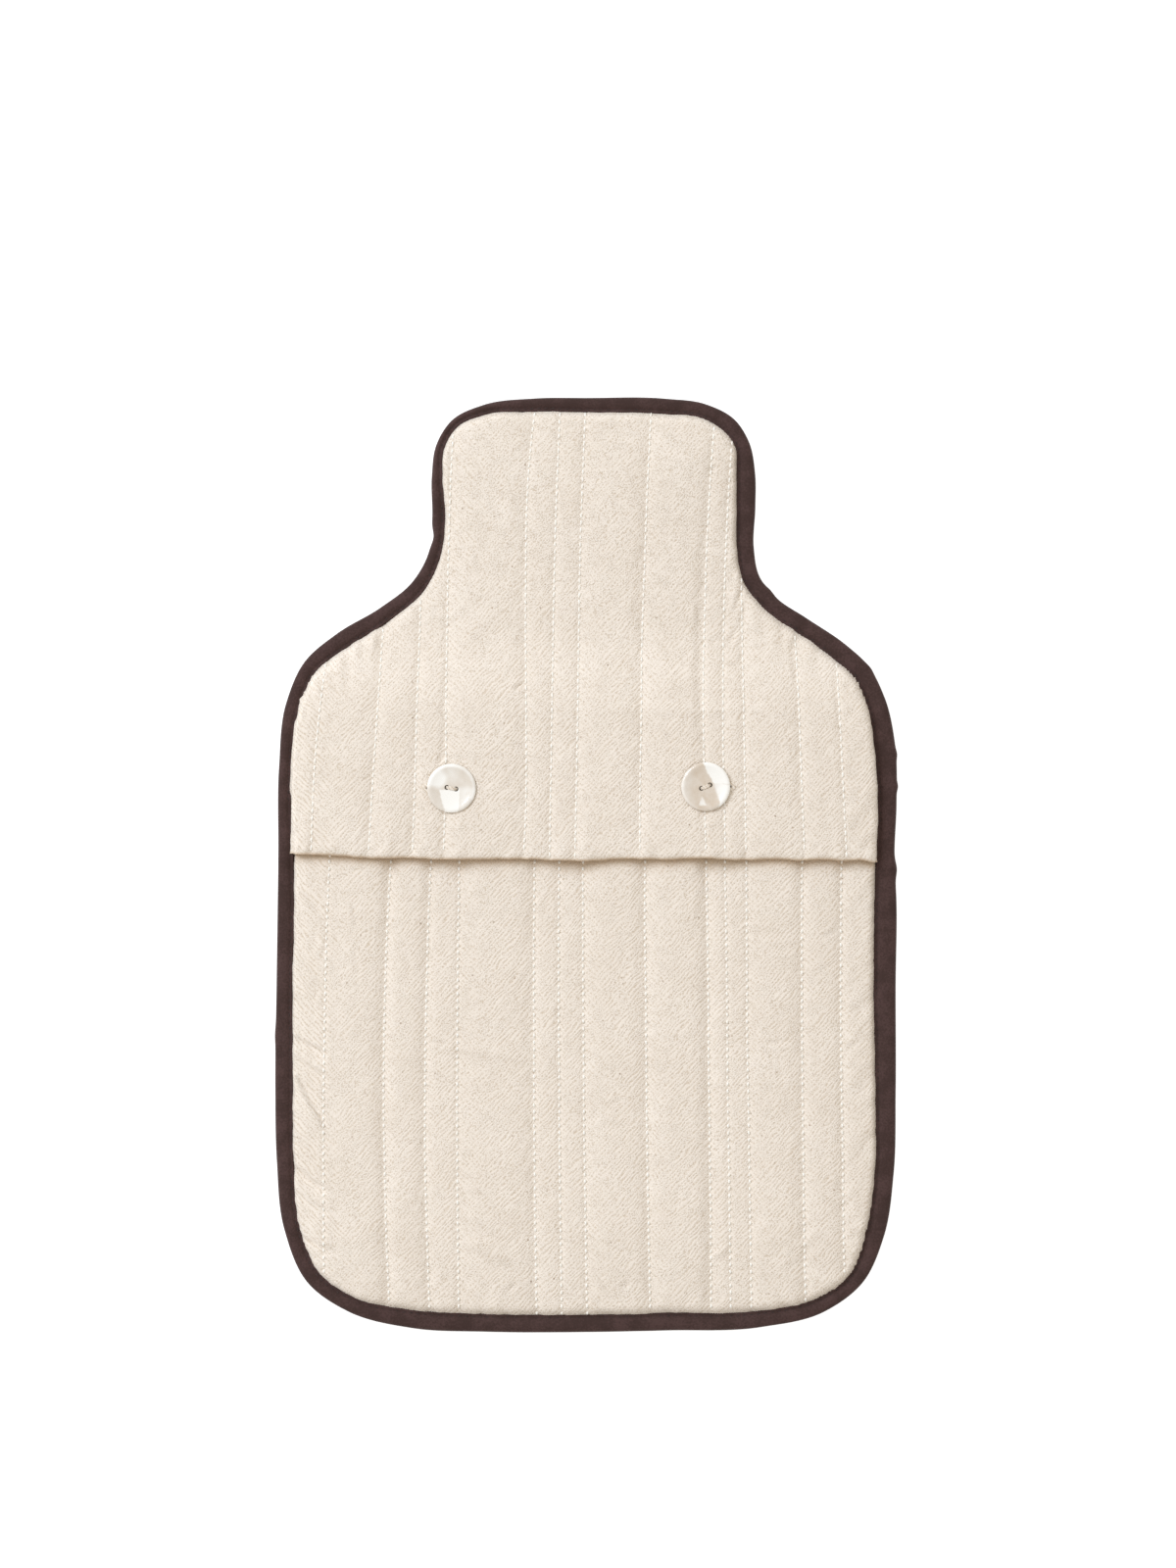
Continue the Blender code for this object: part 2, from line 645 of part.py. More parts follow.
def binding(colour):
    """One strip of cloth folded over the edge of all the layers, and closed on itself."""
    centre, laps = OUTLINE_COARSE[:, :2], OUTLINE_COARSE[:, 2]
    into = inward(centre)
    highs = np.maximum(rim_height(centre), rim_height(centre + into * laps[:, None]))
    points, corners = [], 0
    for place, direction, lap, high in zip(centre, into, laps, highs):
        section = (
            (lap, 0.0), (TAPE_ROUND, 0.0), (0.0, TAPE_ROUND),
            (0.0, high - TAPE_ROUND), (TAPE_ROUND, high),
            (lap - LAP_ROUND[0], high), (lap, high - LAP_ROUND[1]), (lap, high - TAPE),
            (TAPE, high - TAPE), (TAPE, TAPE), (lap, TAPE),
        )
        corners = len(section)
        points += [(*(place + direction * u), z) for u, z in section]
    faces = []
    for i in range(len(centre)):
        here, there = i * corners, (i + 1) % len(centre) * corners
        for k in range(corners):
            j = (k + 1) % corners
            faces += [(here + k, here + j, there + j), (here + k, there + j, there + k)]
    return add_object("binding", points, faces, colour)


def seat_level(x, y):
    """The height of the flap's top under a button."""
    turn = np.arange(24) * math.pi / 12
    ring = [(x + r * math.cos(t), y + r * math.sin(t)) for r in (3.0, 6.0, BUTTON_RADIUS) for t in turn]
    return float(flap_surfaces(np.array(ring))[0].max())


def turned(name, profile, steps, colour):
    """A solid turned round Z from its profile, from the axis at the bottom to the top."""
    points = [(0.0, 0.0, profile[0][1]), (0.0, 0.0, profile[-1][1])]
    rim = profile[1:-1]
    for k in range(steps):
        turn = 2 * math.pi * k / steps
        points += [(r * math.cos(turn), r * math.sin(turn), z) for r, z in rim]
    faces = []
    for k in range(steps):
        here, there = 2 + k * len(rim), 2 + (k + 1) % steps * len(rim)
        faces.append((0, there, here))
        faces.append((1, here + len(rim) - 1, there + len(rim) - 1))
        faces += [(here + i, there + i, there + i + 1, here + i + 1) for i in range(len(rim) - 1)]
    return add_object(name, points, faces, colour, 35.0)


def button(side, x, y, turn, colour):
    """A two-hole shell button with a dished face, sitting on the flap."""
    rim = [(BUTTON_RADIUS - inset, up) for inset, up in BUTTON_SECTION]
    made = turned(f"button_{side}", [(0.0, 0.0), *rim, (0.0, BUTTON_FACE)], TURN_STEPS, colour)
    drill = [(0.0, -1.0), (BUTTON_HOLE, -1.0), (BUTTON_HOLE, BUTTON_FACE + 1.0), (0.0, BUTTON_FACE + 1.0)]
    for place in ("first", "second"):
        reach = HOLE_REACH if place == "first" else -HOLE_REACH
        hole = turned(f"{place} hole {side}", drill, HOLE_STEPS, colour)
        hole.hide_render = True
        hole.display_type = "WIRE"
        hole.parent = made
        hole.location = (reach * math.cos(turn) * MM, reach * math.sin(turn) * MM, 0.0)
        cut = made.modifiers.new(f"{place} hole", "BOOLEAN")
        cut.operation = "DIFFERENCE"
        cut.solver = "EXACT"
        cut.object = hole
    made.location = (x * MM, y * MM, (seat_level(x, y) + GAP) * MM)
    return made


def tube(name, path, radius, sides, colour):
    """A closed tube along a path in one upright plane, with flat ends."""
    path = np.asarray(path, dtype=float)
    ahead = np.gradient(path, axis=0)
    ahead /= np.linalg.norm(ahead, axis=1)[:, None]
    level = path[-1, :2] - path[0, :2]
    across = np.array([-level[1], level[0], 0.0]) / np.linalg.norm(level)
    points = []
    for place, direction in zip(path, ahead):
        other = np.cross(direction, across)
        for k in range(sides):
            turn = 2 * math.pi * k / sides
            points.append(place + radius * (math.cos(turn) * across + math.sin(turn) * other))
    faces = [tuple(range(sides)), tuple(range((len(path) - 1) * sides, len(path) * sides))]
    for i in range(len(path) - 1):
        for k in range(sides):
            j = (k + 1) % sides
            faces.append((i * sides + k, i * sides + j, (i + 1) * sides + j, (i + 1) * sides + k))
    return add_object(name, points, faces, colour)


def button_thread(side, x, y, turn, colour):
    """The thread over a button's face and down through its holes to the lower panel."""
    foot = float(lower_surfaces(np.array([(x, y)]))[0][0]) + GAP
    bar = seat_level(x, y) + GAP + BUTTON_FACE + GAP + THREAD + BAR_CLEAR
    bend = bar - THREAD_BEND
    leg = [(HOLE_REACH, foot), (HOLE_REACH, (foot + bar) / 2), (HOLE_REACH, bend)]
    top = [(HOLE_REACH - THREAD_BEND, bar), (0.0, bar)]
    route = [(-u, z) for u, z in leg + top] + [*reversed(leg + top[:1])]
    path = [(x + u * math.cos(turn), y + u * math.sin(turn), z) for u, z in route]
    return tube(f"button_thread_{side}", path, THREAD, THREAD_SIDES, colour)


def main():
    """Clear the scene and build the cover."""
    for old in list(bpy.data.objects):
        bpy.data.objects.remove(old)
    cotton = material("quilted cotton")
    shell = material("shell button")
    thread = material("sewing thread")
    back_panel(cotton)
    front_lower_panel(cotton)
    front_upper_panel(cotton)
    binding(material("brown binding"))
    for side, x, y, turn, _ in BUTTONS:
        button(side, x, y, math.radians(turn), shell)
        button_thread(side, x, y, math.radians(turn), thread)


main()
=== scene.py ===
"""The looks of a quilted cotton cover for a hot water bottle, lying empty on its back.

Each piece that a maker would cut, sew or fit is a class: its sizes are fields, and its
methods build its mesh and dress it. X runs across the cover, +Y towards its neck and +Z
up from the table. Sizes are in millimetres until a mesh is made.
"""
from __future__ import annotations

import logging
import math
from collections.abc import Sequence
from dataclasses import dataclass, field
from enum import Enum

import bmesh
import bpy
import numpy as np
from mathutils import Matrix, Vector
from mathutils.kdtree import KDTree
from numpy.typing import NDArray


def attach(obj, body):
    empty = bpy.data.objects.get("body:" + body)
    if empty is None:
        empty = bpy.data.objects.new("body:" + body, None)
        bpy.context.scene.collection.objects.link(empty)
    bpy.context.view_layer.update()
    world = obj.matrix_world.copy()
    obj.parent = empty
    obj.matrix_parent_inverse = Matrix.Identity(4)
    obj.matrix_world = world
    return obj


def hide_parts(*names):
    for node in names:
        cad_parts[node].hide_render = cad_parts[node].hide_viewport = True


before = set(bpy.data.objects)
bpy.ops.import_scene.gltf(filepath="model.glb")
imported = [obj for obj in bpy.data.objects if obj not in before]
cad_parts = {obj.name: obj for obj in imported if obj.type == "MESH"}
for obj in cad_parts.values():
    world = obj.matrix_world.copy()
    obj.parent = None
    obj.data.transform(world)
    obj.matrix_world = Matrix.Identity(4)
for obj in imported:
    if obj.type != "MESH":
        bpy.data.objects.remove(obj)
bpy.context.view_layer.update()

Floats = NDArray[np.float64]
Flags = NDArray[np.bool_]
Numbers = NDArray[np.int64]
Faces = list[list[int]]
Pair = tuple[float, float]
Rows = tuple[tuple[float, ...], ...]
Piece = bpy.types.Object
Material = bpy.types.Material
Tree = bpy.types.NodeTree
Socket = bpy.types.NodeSocket
Outputs = bpy.types.bpy_prop_collection
MM = 0.001
BODY = "root"
log = logging.getLogger("bottle cover")

# The edge of the cover, clockwise from the middle of the neck's top: how far across and
# along, and the width of the binding's lap on the front. The lap was sewn by hand.
EDGE_ROWS = (
    (0.6, 181.4, 5.9), (31.0, 181.1, 6.3),                              # neck's top
    (46.4, 179.0, 6.0), (57.8, 172.9, 6.6), (63.3, 164.3, 6.0),         # its right corner
    (65.7, 152.0, 7.4), (65.8, 139.0, 7.6), (65.2, 123.0, 6.8),         # its right side
    (67.4, 112.0, 6.6), (73.4, 104.3, 6.6), (85.8, 95.8, 6.9),          # its right foot
    (100.6, 85.8, 7.6), (109.6, 77.4, 7.6), (116.0, 65.0, 7.9),         # right shoulder
    (120.0, 47.0, 8.6), (120.6, 24.0, 7.7), (119.8, 3.0, 7.5),          # beside the flap
    (120.6, -14.0, 8.9), (120.3, -46.0, 8.9), (120.3, -88.0, 8.2),      # right side
    (119.5, -120.0, 7.6), (115.8, -144.0, 7.6), (107.4, -162.3, 6.4),   # bottom right
    (92.4, -173.6, 6.3), (68.0, -179.5, 6.7), (31.0, -180.8, 7.2),
    (0.0, -181.4, 7.1), (-38.0, -181.3, 7.3), (-68.0, -179.8, 7.3),     # bottom edge
    (-92.0, -173.6, 6.3), (-108.0, -162.4, 6.3), (-117.2, -141.5, 6.5),
    (-120.1, -115.0, 6.9), (-120.7, -88.0, 7.2), (-120.2, -46.0, 6.5),  # left side
    (-119.8, -18.0, 6.8), (-119.5, 4.0, 6.2), (-119.2, 38.0, 5.4),      # beside the flap
    (-116.4, 63.0, 5.8), (-109.3, 78.9, 6.2), (-96.8, 89.8, 7.0),       # left shoulder
    (-79.6, 100.1, 6.3), (-67.4, 110.0, 5.9), (-61.5, 120.3, 5.2),      # neck's left foot
    (-59.8, 134.0, 5.4), (-59.9, 151.0, 4.5), (-58.2, 163.0, 3.6),      # its left side
    (-52.0, 172.8, 3.6), (-39.8, 178.7, 4.2), (-20.0, 181.2, 5.4),      # its left corner
)

# Where the binding stands out or bunches: place, half length, how far its outer edge
# comes out, and how far its inner edge comes in over the cloth.
EDGE_NICKS = (
    ((-60.4, 127.5), 3.4, -0.9, 0.0),
    ((-54.6, 132.8), 1.6, 0.0, 0.8),
    ((71.5, 106.5), 2.8, 0.45, 0.0),
    ((120.4, -1.5), 3.6, 0.8, 0.0),
    ((120.6, 43.0), 2.0, 0.4, 0.0),
    ((120.9, 30.5), 1.8, 0.5, 0.0),
    ((110.0, 76.0), 2.6, 0.3, 0.0),
    ((-119.8, -66.0), 4.0, 0.3, 0.3),
)

# The lines of stitches from left to right: how far across at each of the heights, and how
# far each draws the cloth down beyond the others.
LOWER_HEIGHTS = (-165.0, -80.0, 0.0)
LOWER_LINES = (
    (-101.3, -101.4, -99.4), (-76.4, -78.2, -75.5), (-60.8, -62.3, -59.9),
    (-49.4, -49.7, -49.0), (-19.2, -20.1, -19.9), (-9.5, -10.4, -10.3), (0.4, -0.8, -1.2),
    (24.8, 23.4, 22.8), (48.4, 47.7, 46.6), (56.0, 54.9, 53.9), (64.0, 62.7, 61.9),
    (85.0, 83.8, 83.7), (100.4, 99.0, 98.9),
)
LOWER_PULLS = (-0.9, 0.5, 0.3, -0.4, 0.1, -0.1, -0.1, 0.1, 0.45, -0.2, -0.2, 0.05, 0.12)
FLAP_HEIGHTS = (2.0, 60.0, 110.0, 170.0)
FLAP_LINES = (
    (-106.2, -102.8, -96.0, -84.0), (-84.3, -80.5, -77.6, -75.3), (-66.9, -65.2, -63.9, -62.6),
    (-55.0, -53.9, -53.5, -51.2), (-24.3, -23.0, -23.4, -20.4), (-13.9, -13.2, -12.2, -10.3),
    (-4.2, -3.2, -2.4, -0.4), (21.0, 21.3, 22.4, 25.1), (46.5, 45.4, 46.3, 49.8),
    (53.8, 53.1, 53.8, 56.9), (61.9, 61.0, 60.2, 59.2), (84.4, 82.2, 80.2, 78.0),
    (100.9, 98.0, 95.5, 93.0),
)
FLAP_PULLS = (-0.6, 0.0, 0.1, 0.0, 0.0, 0.0, 0.0, 0.0, 0.15, 0.1, 0.0, 0.0, -0.2)

# The flap's folded edge from left to right: how far across and how far along.
FLAP_EDGE = (
    (-120.0, 4.2), (-104.0, 4.1), (-95.0, 3.7), (-86.0, 2.9), (-78.0, 2.7), (-71.0, 3.0),
    (-62.0, 2.5), (-50.0, 2.3), (-38.0, 2.4), (-22.0, 2.4), (-13.0, 2.0), (-3.0, 1.7), (5.0, 2.0),
    (12.0, 2.5), (24.0, 2.4), (29.0, 2.2), (38.0, 2.6), (46.0, 2.8), (55.0, 2.2), (62.0, 2.1),
    (70.0, 2.5), (83.0, 2.0), (92.0, 2.3), (99.0, 1.8), (106.0, 2.0), (112.0, 1.0), (120.0, 0.6),
)

# Where the flap's edge stands off the lower panel, at its lines of stitches: how far
# across, the half width, and how far beside the widest one.
FOLD_HOLLOWS = (
    (-76.0, 3.4, 0.9), (-60.5, 3.4, 0.7), (-49.5, 4.0, 1.0), (-20.0, 2.6, 0.4), (-8.5, 3.4, 0.8),
    (-0.5, 3.6, 1.0), (23.0, 2.6, 0.45), (47.0, 3.8, 1.0), (54.5, 3.0, 0.7), (84.0, 2.6, 0.5),
    (99.0, 2.6, 0.55),
)

# The lower panel's own creases, one by one: both ends, how far the middle bows out, the half
# width and the depth. Below zero it is a ridge.
LOWER_CREASES = (
    (-110.2, -131.2, -102.6, -139.6, 0.4, 1.1, 0.10), (-61.2, -69.8, -21.6, -75.6, 1.2, 2.4, -0.22),
    (-61.2, -68.9, -52.0, -69.6, 0.2, 0.8, 0.26), (-48.6, -137.3, -36.5, -146.8, 0.6, 2.0, 0.30),
    (-47.0, -143.5, -28.0, -155.0, 0.6, 2.4, -0.42), (-30.0, -165.4, -27.0, -161.6, 0.1, 0.9, 0.40),
    (54.7, -26.3, 83.2, -27.9, 0.7, 1.6, 0.12), (64.2, -32.4, 83.2, -32.0, -0.4, 1.5, 0.10),
    (68.8, -69.6, 79.8, -68.1, 0.3, 0.9, 0.26), (101.2, -71.2, 106.8, -68.4, 0.2, 0.9, 0.24),
    (100.3, -56.7, 109.8, -47.2, 0.4, 1.8, -0.12), (99.6, -48.6, 106.3, -43.7, 0.2, 0.9, 0.16),
    (101.5, -83.7, 109.8, -74.2, 0.4, 1.5, -0.10), (90.4, -28.6, 98.3, -25.0, 0.3, 0.8, 0.22),
    (88.4, -42.4, 96.0, -38.2, 0.3, 0.8, 0.18), (-0.4, -153.2, 8.0, -165.4, -0.4, 1.2, -0.40),
    (76.8, -153.6, 83.2, -147.2, 0.3, 1.0, 0.24), (73.0, -157.8, 92.0, -139.8, 0.6, 1.8, -0.20),
    (14.0, -165.0, 16.5, -160.5, 0.2, 0.9, 0.30), (-70.0, -160.5, -66.5, -164.5, 0.2, 0.9, 0.30),
    (-5.0, -162.0, -3.0, -166.0, 0.2, 0.8, 0.26), (33.9, -134.0, 37.0, -118.0, -0.5, 0.8, 0.18),
    (38.0, -136.0, 41.5, -121.0, -0.5, 0.8, 0.14), (8.4, -94.0, 14.1, -90.2, 0.2, 0.9, 0.20),
    (3.0, -98.9, 17.0, -98.9, 0.4, 1.6, -0.14), (48.6, -153.0, 56.0, -147.2, 0.4, 1.3, -0.30),
    (-90.4, -14.0, -88.6, -25.6, 0.3, 0.9, 0.24), (-89.3, -31.3, -87.8, -44.6, -0.3, 0.9, 0.20),
)

# Creases along the left side that have fallen over: both ends, the middle's bow, how far
# the raised side reaches and how high it is. Below zero that side has sunk instead.
LOWER_LAPS = (
    (-112.6, -7.6, -100.7, -22.2, -0.3, 3.0, 0.40), (-114.4, -31.8, -101.4, -46.5, -0.3, 2.6, 0.36),
    (-116.2, -48.0, -103.0, -59.4, -0.4, 2.6, -0.36), (-117.0, -63.8, -98.0, -73.4, -0.5, 3.6, -0.80),
    (-117.0, -70.6, -98.0, -82.6, -0.5, 3.6, -0.60), (-116.4, -72.2, -98.6, -104.6, -1.4, 4.2, 1.00),
    (-116.2, -113.6, -97.4, -127.4, -0.5, 3.6, -0.80), (-115.6, -122.6, -97.5, -134.6, -1.4, 3.0, -0.60),
    (-113.0, -141.4, -95.4, -150.2, -0.5, 3.4, -0.70),
)

# The flap's own creases, listed like the lower panel's.
FLAP_CREASES = (
    (-28.2, 67.3, -23.4, 70.6, 0.2, 0.8, 0.46), (47.0, 147.0, 44.4, 42.0, -1.9, 1.5, 0.20),
    (52.1, 147.7, 57.4, 148.9, 0.1, 0.9, 0.40), (60.5, 107.6, 57.7, 97.2, -0.2, 0.9, 0.42),
    (58.9, 93.0, 54.5, 84.4, 0.3, 1.0, 0.26), (45.2, 87.0, 60.6, 86.6, 0.3, 1.0, 0.26),
    (51.0, 77.2, 59.5, 76.9, 0.2, 0.8, 0.20), (79.4, 91.0, 82.0, 66.0, -0.3, 1.0, 0.16),
    (95.6, 76.5, 98.6, 50.0, -0.2, 0.9, 0.12), (-6.0, 60.6, 84.0, 60.0, 0.0, 2.2, -0.10),
    (-60.0, 99.0, -49.4, 99.4, 0.4, 1.5, 0.20), (-49.4, 83.5, -35.3, 97.6, 0.6, 3.2, -0.16),
    (-57.0, 38.6, -54.8, 43.4, 0.2, 0.9, 0.40), (-55.4, 68.7, -56.0, 35.4, 0.4, 1.2, 0.10),
    (-88.0, 52.0, -80.0, 66.0, 0.6, 2.0, 0.10), (43.0, 149.6, 47.2, 144.2, 0.2, 0.8, 0.26),
)

# The front's slow rise and fall: how high each wave is, its length across and along the
# cover, and the angle at which it starts.
SWAYS = (
    (0.32, 195.0, math.inf, 0.6), (0.26, math.inf, 148.0, 1.9), (0.18, 383.0, 145.0, 0.0),
)
SLOT_HALF, SLOT_WIDE = 9.6, 1.5     # half the length and half the width of a buttonhole
BUTTON_RADIUS = 9.5


class Slot(Enum):
    """Names for material slots; no piece here is given one."""

    COTTON = "quilted_cotton"
    BINDING = "cotton_binding"
    THREAD = "sewing_thread"
    SHELL = "shell_button"


class Side(Enum):
    """Which of the two buttons a piece belongs to."""

    LEFT = "left"
    RIGHT = "right"


class Waves(Enum):
    """Kinds of unevenness in a panel: width, length, direction, and a number for the seed."""

    WAVER_ACROSS = (11.0, 11.0, 0.0, 0)
    WAVER_ALONG = (13.0, 13.0, 0.0, 1)
    PATCHES = (17.0, 30.0, 90.0, 2)
    DRAGS = (1.5, 5.5, 66.0, 3)
    COUNTER_DRAGS = (1.5, 5.0, -56.0, 4)
    CRUMPLE = (8.0, 9.0, 20.0, 5)
    SLOW_CRUMPLE = (21.0, 24.0, 70.0, 6)
    SHORT_GATHERS = (2.3, 7.0, 0.0, 7)
    LONG_GATHERS = (4.2, 14.0, 0.0, 8)
    FOLD_RIPPLE = (3.4, 9.0, 84.0, 20)
    FOLD_SWELLS = (9.0, 9.0, 0.0, 21)
    FOLD_GATHERS = (1.25, 5.0, 50.0, 22)


# ------------------------------------------------------------------ shapes in the plane

def smooth(value: Floats) -> Floats:
    """Return a step from 0 to 1 that starts and ends level."""
    t = np.clip(value, 0.0, 1.0)
    return t * t * (3.0 - 2.0 * t)


def rise(value: Floats, low: float, high: float) -> Floats:
    """Return a smooth step from 0 at the low value to 1 at the high one."""
    return smooth((value - low) / (high - low))


def settle(value: Floats, power: float = 2.0) -> Floats:
    """Return a step from 0 to 1 that starts at once and ends level."""
    return 1.0 - (1.0 - np.clip(value, 0.0, 1.0)) ** power


def bell(distance: Floats, half: float) -> Floats:
    """Return 1 at no distance, falling to 0 over about two half widths on both sides."""
    return np.exp(-((distance / half) ** 2))


def trail(distance: Floats, reach: float) -> Floats:
    """Return 1 up to no distance, trailing off beyond it."""
    return np.exp(-np.clip(distance, 0.0, None) / reach)


def drawn_through(points: Sequence[Pair], x: Floats) -> Floats:
    """Draw a smooth curve through points.

    Args:
        points: How far across and how far along each point is, from left to right.
        x: Where the curve is wanted.

    Returns:
        How far along the curve is there.
    """
    across, along = np.array(points).T
    slope = np.gradient(along, across)
    k = np.clip(np.searchsorted(across, x) - 1, 0, len(across) - 2)
    run = across[k + 1] - across[k]
    t = np.clip((x - across[k]) / run, 0.0, 1.0)
    return (along[k] + (along[k + 1] - along[k]) * smooth(t)
            + run * (t * (1.0 - t) ** 2 * slope[k] - t**2 * (1.0 - t) * slope[k + 1]))


@dataclass(frozen=True)
class Unevenness:
    """Smooth seeded noise over the cloth, drawn out along one direction."""

    wide: float                 # size of its bumps across that direction
    long: float                 # and along it
    turn: float = 0.0           # the direction, in degrees from +X
    seed: int = 1
    cells: int = 61             # bumps before it repeats

    def at(self, xy: Floats) -> Floats:
        """Work out the noise at points in the plane.

        Args:
            xy: The points, one row each.

        Returns:
            A value from -1 to 1 for each point.
        """
        rng = np.random.default_rng(self.seed)
        table = rng.uniform(-1.0, 1.0, (self.cells, self.cells))
        shift = rng.uniform(0.0, 1.0, self.cells)
        turn = math.radians(self.turn)
        along = (xy[:, 0] * math.cos(turn) + xy[:, 1] * math.sin(turn)) / self.long
        across = (xy[:, 1] * math.cos(turn) - xy[:, 0] * math.sin(turn)) / self.wide
        row = np.floor(across).astype(int)
        found = []
        for step in (0, 1):
            line = (row + step) % self.cells
            place = along + shift[line]
            cell = np.floor(place).astype(int)
            share = smooth(place - cell)
            found.append(table[cell % self.cells, line] * (1.0 - share)
                         + table[(cell + 1) % self.cells, line] * share)
        share = smooth(across - row)
        return found[0] * (1.0 - share) + found[1] * share


@dataclass(frozen=True)
class Crease:
    """One soft crease in the cloth, given one by one."""

    x: float                    # one end
    y: float
    end_x: float                # the other end
    end_y: float
    bow: float                  # how far its middle lies off the straight line
    width: float                # half width of the trough
    depth: float                # below zero it is a ridge
    fade: float = 0.3           # share of its length over which each end fades

    def at(self, xy: Floats) -> Floats:
        """Work out the crease's height at points in the plane.

        Args:
            xy: The points, one row each.

        Returns:
            How far each point moves up.
        """
        run = np.array([self.end_x - self.x, self.end_y - self.y])
        length = float(np.linalg.norm(run))
        offset = xy - np.array([self.x, self.y])
        along = offset @ run / length**2
        side = (offset[:, 1] * run[0] - offset[:, 0] * run[1]) / length
        side = side - self.bow * 4.0 * along * (1.0 - along)
        ends = smooth(along / self.fade) * smooth((1.0 - along) / self.fade)
        return self.depth * ends * self.profile(side)

    def profile(self, side: Floats) -> Floats:
        """Return the crease's section, a trough between two low banks."""
        return 0.35 * bell(np.abs(side) - 1.9 * self.width, self.width) - bell(side, self.width)


@dataclass(frozen=True)
class FallenCrease(Crease):
    """A crease whose raised side, on the right of its line, hangs over its low side."""

    def profile(self, side: Floats) -> Floats:
        """Return the crease's section, which rises slowly and then drops."""
        raised = np.exp(-(np.clip(-side, 0.0, None) / self.width) ** 1.5)
        return raised * smooth((0.7 - side) / 1.4) - 0.3 * bell(side - 1.0, 0.8)


@dataclass
class CoverEdge:
    """The outline of the cover, clockwise, with the binding's lap beside it."""

    fine: float = 0.48          # spacing of the points along it
    panel_inset: float = 1.8    # from the outline to the panels' own cut edges
    wander: float = 0.1         # how far the lap's inner edge strays
    curve: Floats = field(init=False)
    into: Floats = field(init=False)
    tree: KDTree = field(init=False, repr=False)

    def __post_init__(self) -> None:
        """Draw the curve through the rows, and add the nicks and the uneven lap."""
        curve = self.through(np.array(EDGE_ROWS))
        into = self.inward(curve)
        for place, half, out, over in EDGE_NICKS:
            near = bell(np.linalg.norm(curve[:, :2] - place, axis=1), half)
            curve[:, :2] -= into * (out * near)[:, None]
            curve[:, 2] += (out + over) * near
        curve[:, 2] += self.wander * Unevenness(17.0, 17.0, seed=6).at(curve[:, :2])
        self.curve = curve
        self.into = self.inward(curve)
        self.tree = KDTree(len(curve))
        for number, (x, y, _) in enumerate(curve):
            self.tree.insert((x, y, 0.0), number)
        self.tree.balance()

    def through(self, rows: Floats) -> Floats:
        """Draw a smooth closed curve through rows of numbers.

        Args:
            rows: Across, along and lap at each named place.

        Returns:
            The same three numbers every fine millimetres.
        """
        ahead = np.roll(rows, -1, axis=0) - rows
        length = np.linalg.norm(ahead[:, :2], axis=1)[:, None]
        before = np.roll(length, 1, axis=0)
        slope = ahead / length
        tangent = (slope * before + np.roll(slope, 1, axis=0) * length) / (length + before)
        curve = []
        for i, start in enumerate(rows):
            j = (i + 1) % len(rows)
            steps = max(2, round(float(length[i, 0]) / self.fine))
            t = np.arange(steps)[:, None] / steps
            curve.append((2 * t**3 - 3 * t**2 + 1) * start + (3 * t**2 - 2 * t**3) * rows[j]
                         + (t**3 - 2 * t**2 + t) * length[i] * tangent[i]
                         + (t**3 - t**2) * length[i] * tangent[j])
        return np.vstack(curve)

    @staticmethod
    def inward(curve: Floats) -> Floats:
        """Find the unit direction into the cover at each point of the curve.

        Args:
            curve: The points, clockwise.

        Returns:
            Across and along for each.
        """
        ahead = np.roll(curve[:, :2], -2, axis=0) - np.roll(curve[:, :2], 2, axis=0)
        across = np.stack([ahead[:, 1], -ahead[:, 0]], axis=1)
        return across / np.linalg.norm(across, axis=1)[:, None]

    def measure(self, xy: Floats) -> tuple[Floats, Floats, Floats, Floats]:
        """Measure points against the outline.

        Args:
            xy: The points, one row each.

        Returns:
            Distance in from the outline, the lap's width there, the inward direction, and
            how far round the cover the nearest place on its outline is.
        """
        nearest = np.array([self.tree.find((x, y, 0.0))[1] for x, y in xy.tolist()])
        best = np.full(len(xy), np.inf)
        lap = np.zeros(len(xy))
        offset = np.zeros_like(xy)
        for start in (nearest - 1, nearest):
            low, high = self.curve[start], self.curve[(start + 1) % len(self.curve)]
            run = high - low
            share = ((xy - low[:, :2]) * run[:, :2]).sum(1) / (run[:, :2] ** 2).sum(1)
            foot = low + run * np.clip(share, 0.0, 1.0)[:, None]
            gap = np.linalg.norm(xy - foot[:, :2], axis=1)
            closer = gap < best
            best = np.where(closer, gap, best)
            lap = np.where(closer, foot[:, 2], lap)
            offset[closer] = (xy - foot[:, :2])[closer]
        into = self.into[nearest]
        sign = np.where((offset * into).sum(1) < 0, -1.0, 1.0)
        return best * sign, lap, into, nearest * self.fine


@dataclass(frozen=True)
class StitchLines:
    """The lines of stitches of one panel, as smooth curves through a few heights."""

    heights: tuple[float, ...]
    rows: Rows                  # for each line from the left, how far across at each height
    pulls: tuple[float, ...] = (0.0,) * 13      # how far each draws the cloth down beside it
    wander: float = 0.14        # how far a line strays
    outer: float = 14.0         # width of the first and the last channel if not bound
    seed: int = 11

    def across(self, y: Floats) -> Floats:
        """Find the lines at given heights.

        Args:
            y: The heights.

        Returns:
            How far across each line is: a row for each line, a column for each height.
        """
        heights, rows = np.array(self.heights), np.array(self.rows)
        found = np.zeros((len(rows), len(y)))
        for k, height in enumerate(heights):
            others = np.delete(heights, k)
            found += rows[:, k:k + 1] * np.prod((y[:, None] - others) / (height - others), axis=1)
        stray = Unevenness(1.0, 31.0, 90.0, self.seed)
        for number in range(len(rows)):
            place = np.stack([np.full(len(y), 1.0 * number), y + 7.0 * number], axis=1)
            found[number] += self.wander * stray.at(place)
        return found

    def channels(self, y: Floats) -> Floats:
        """Return the lines with one more on each side, closing the outer channels."""
        found = self.across(y)
        return np.vstack([found[:1] - self.outer, found, found[-1:] + self.outer])


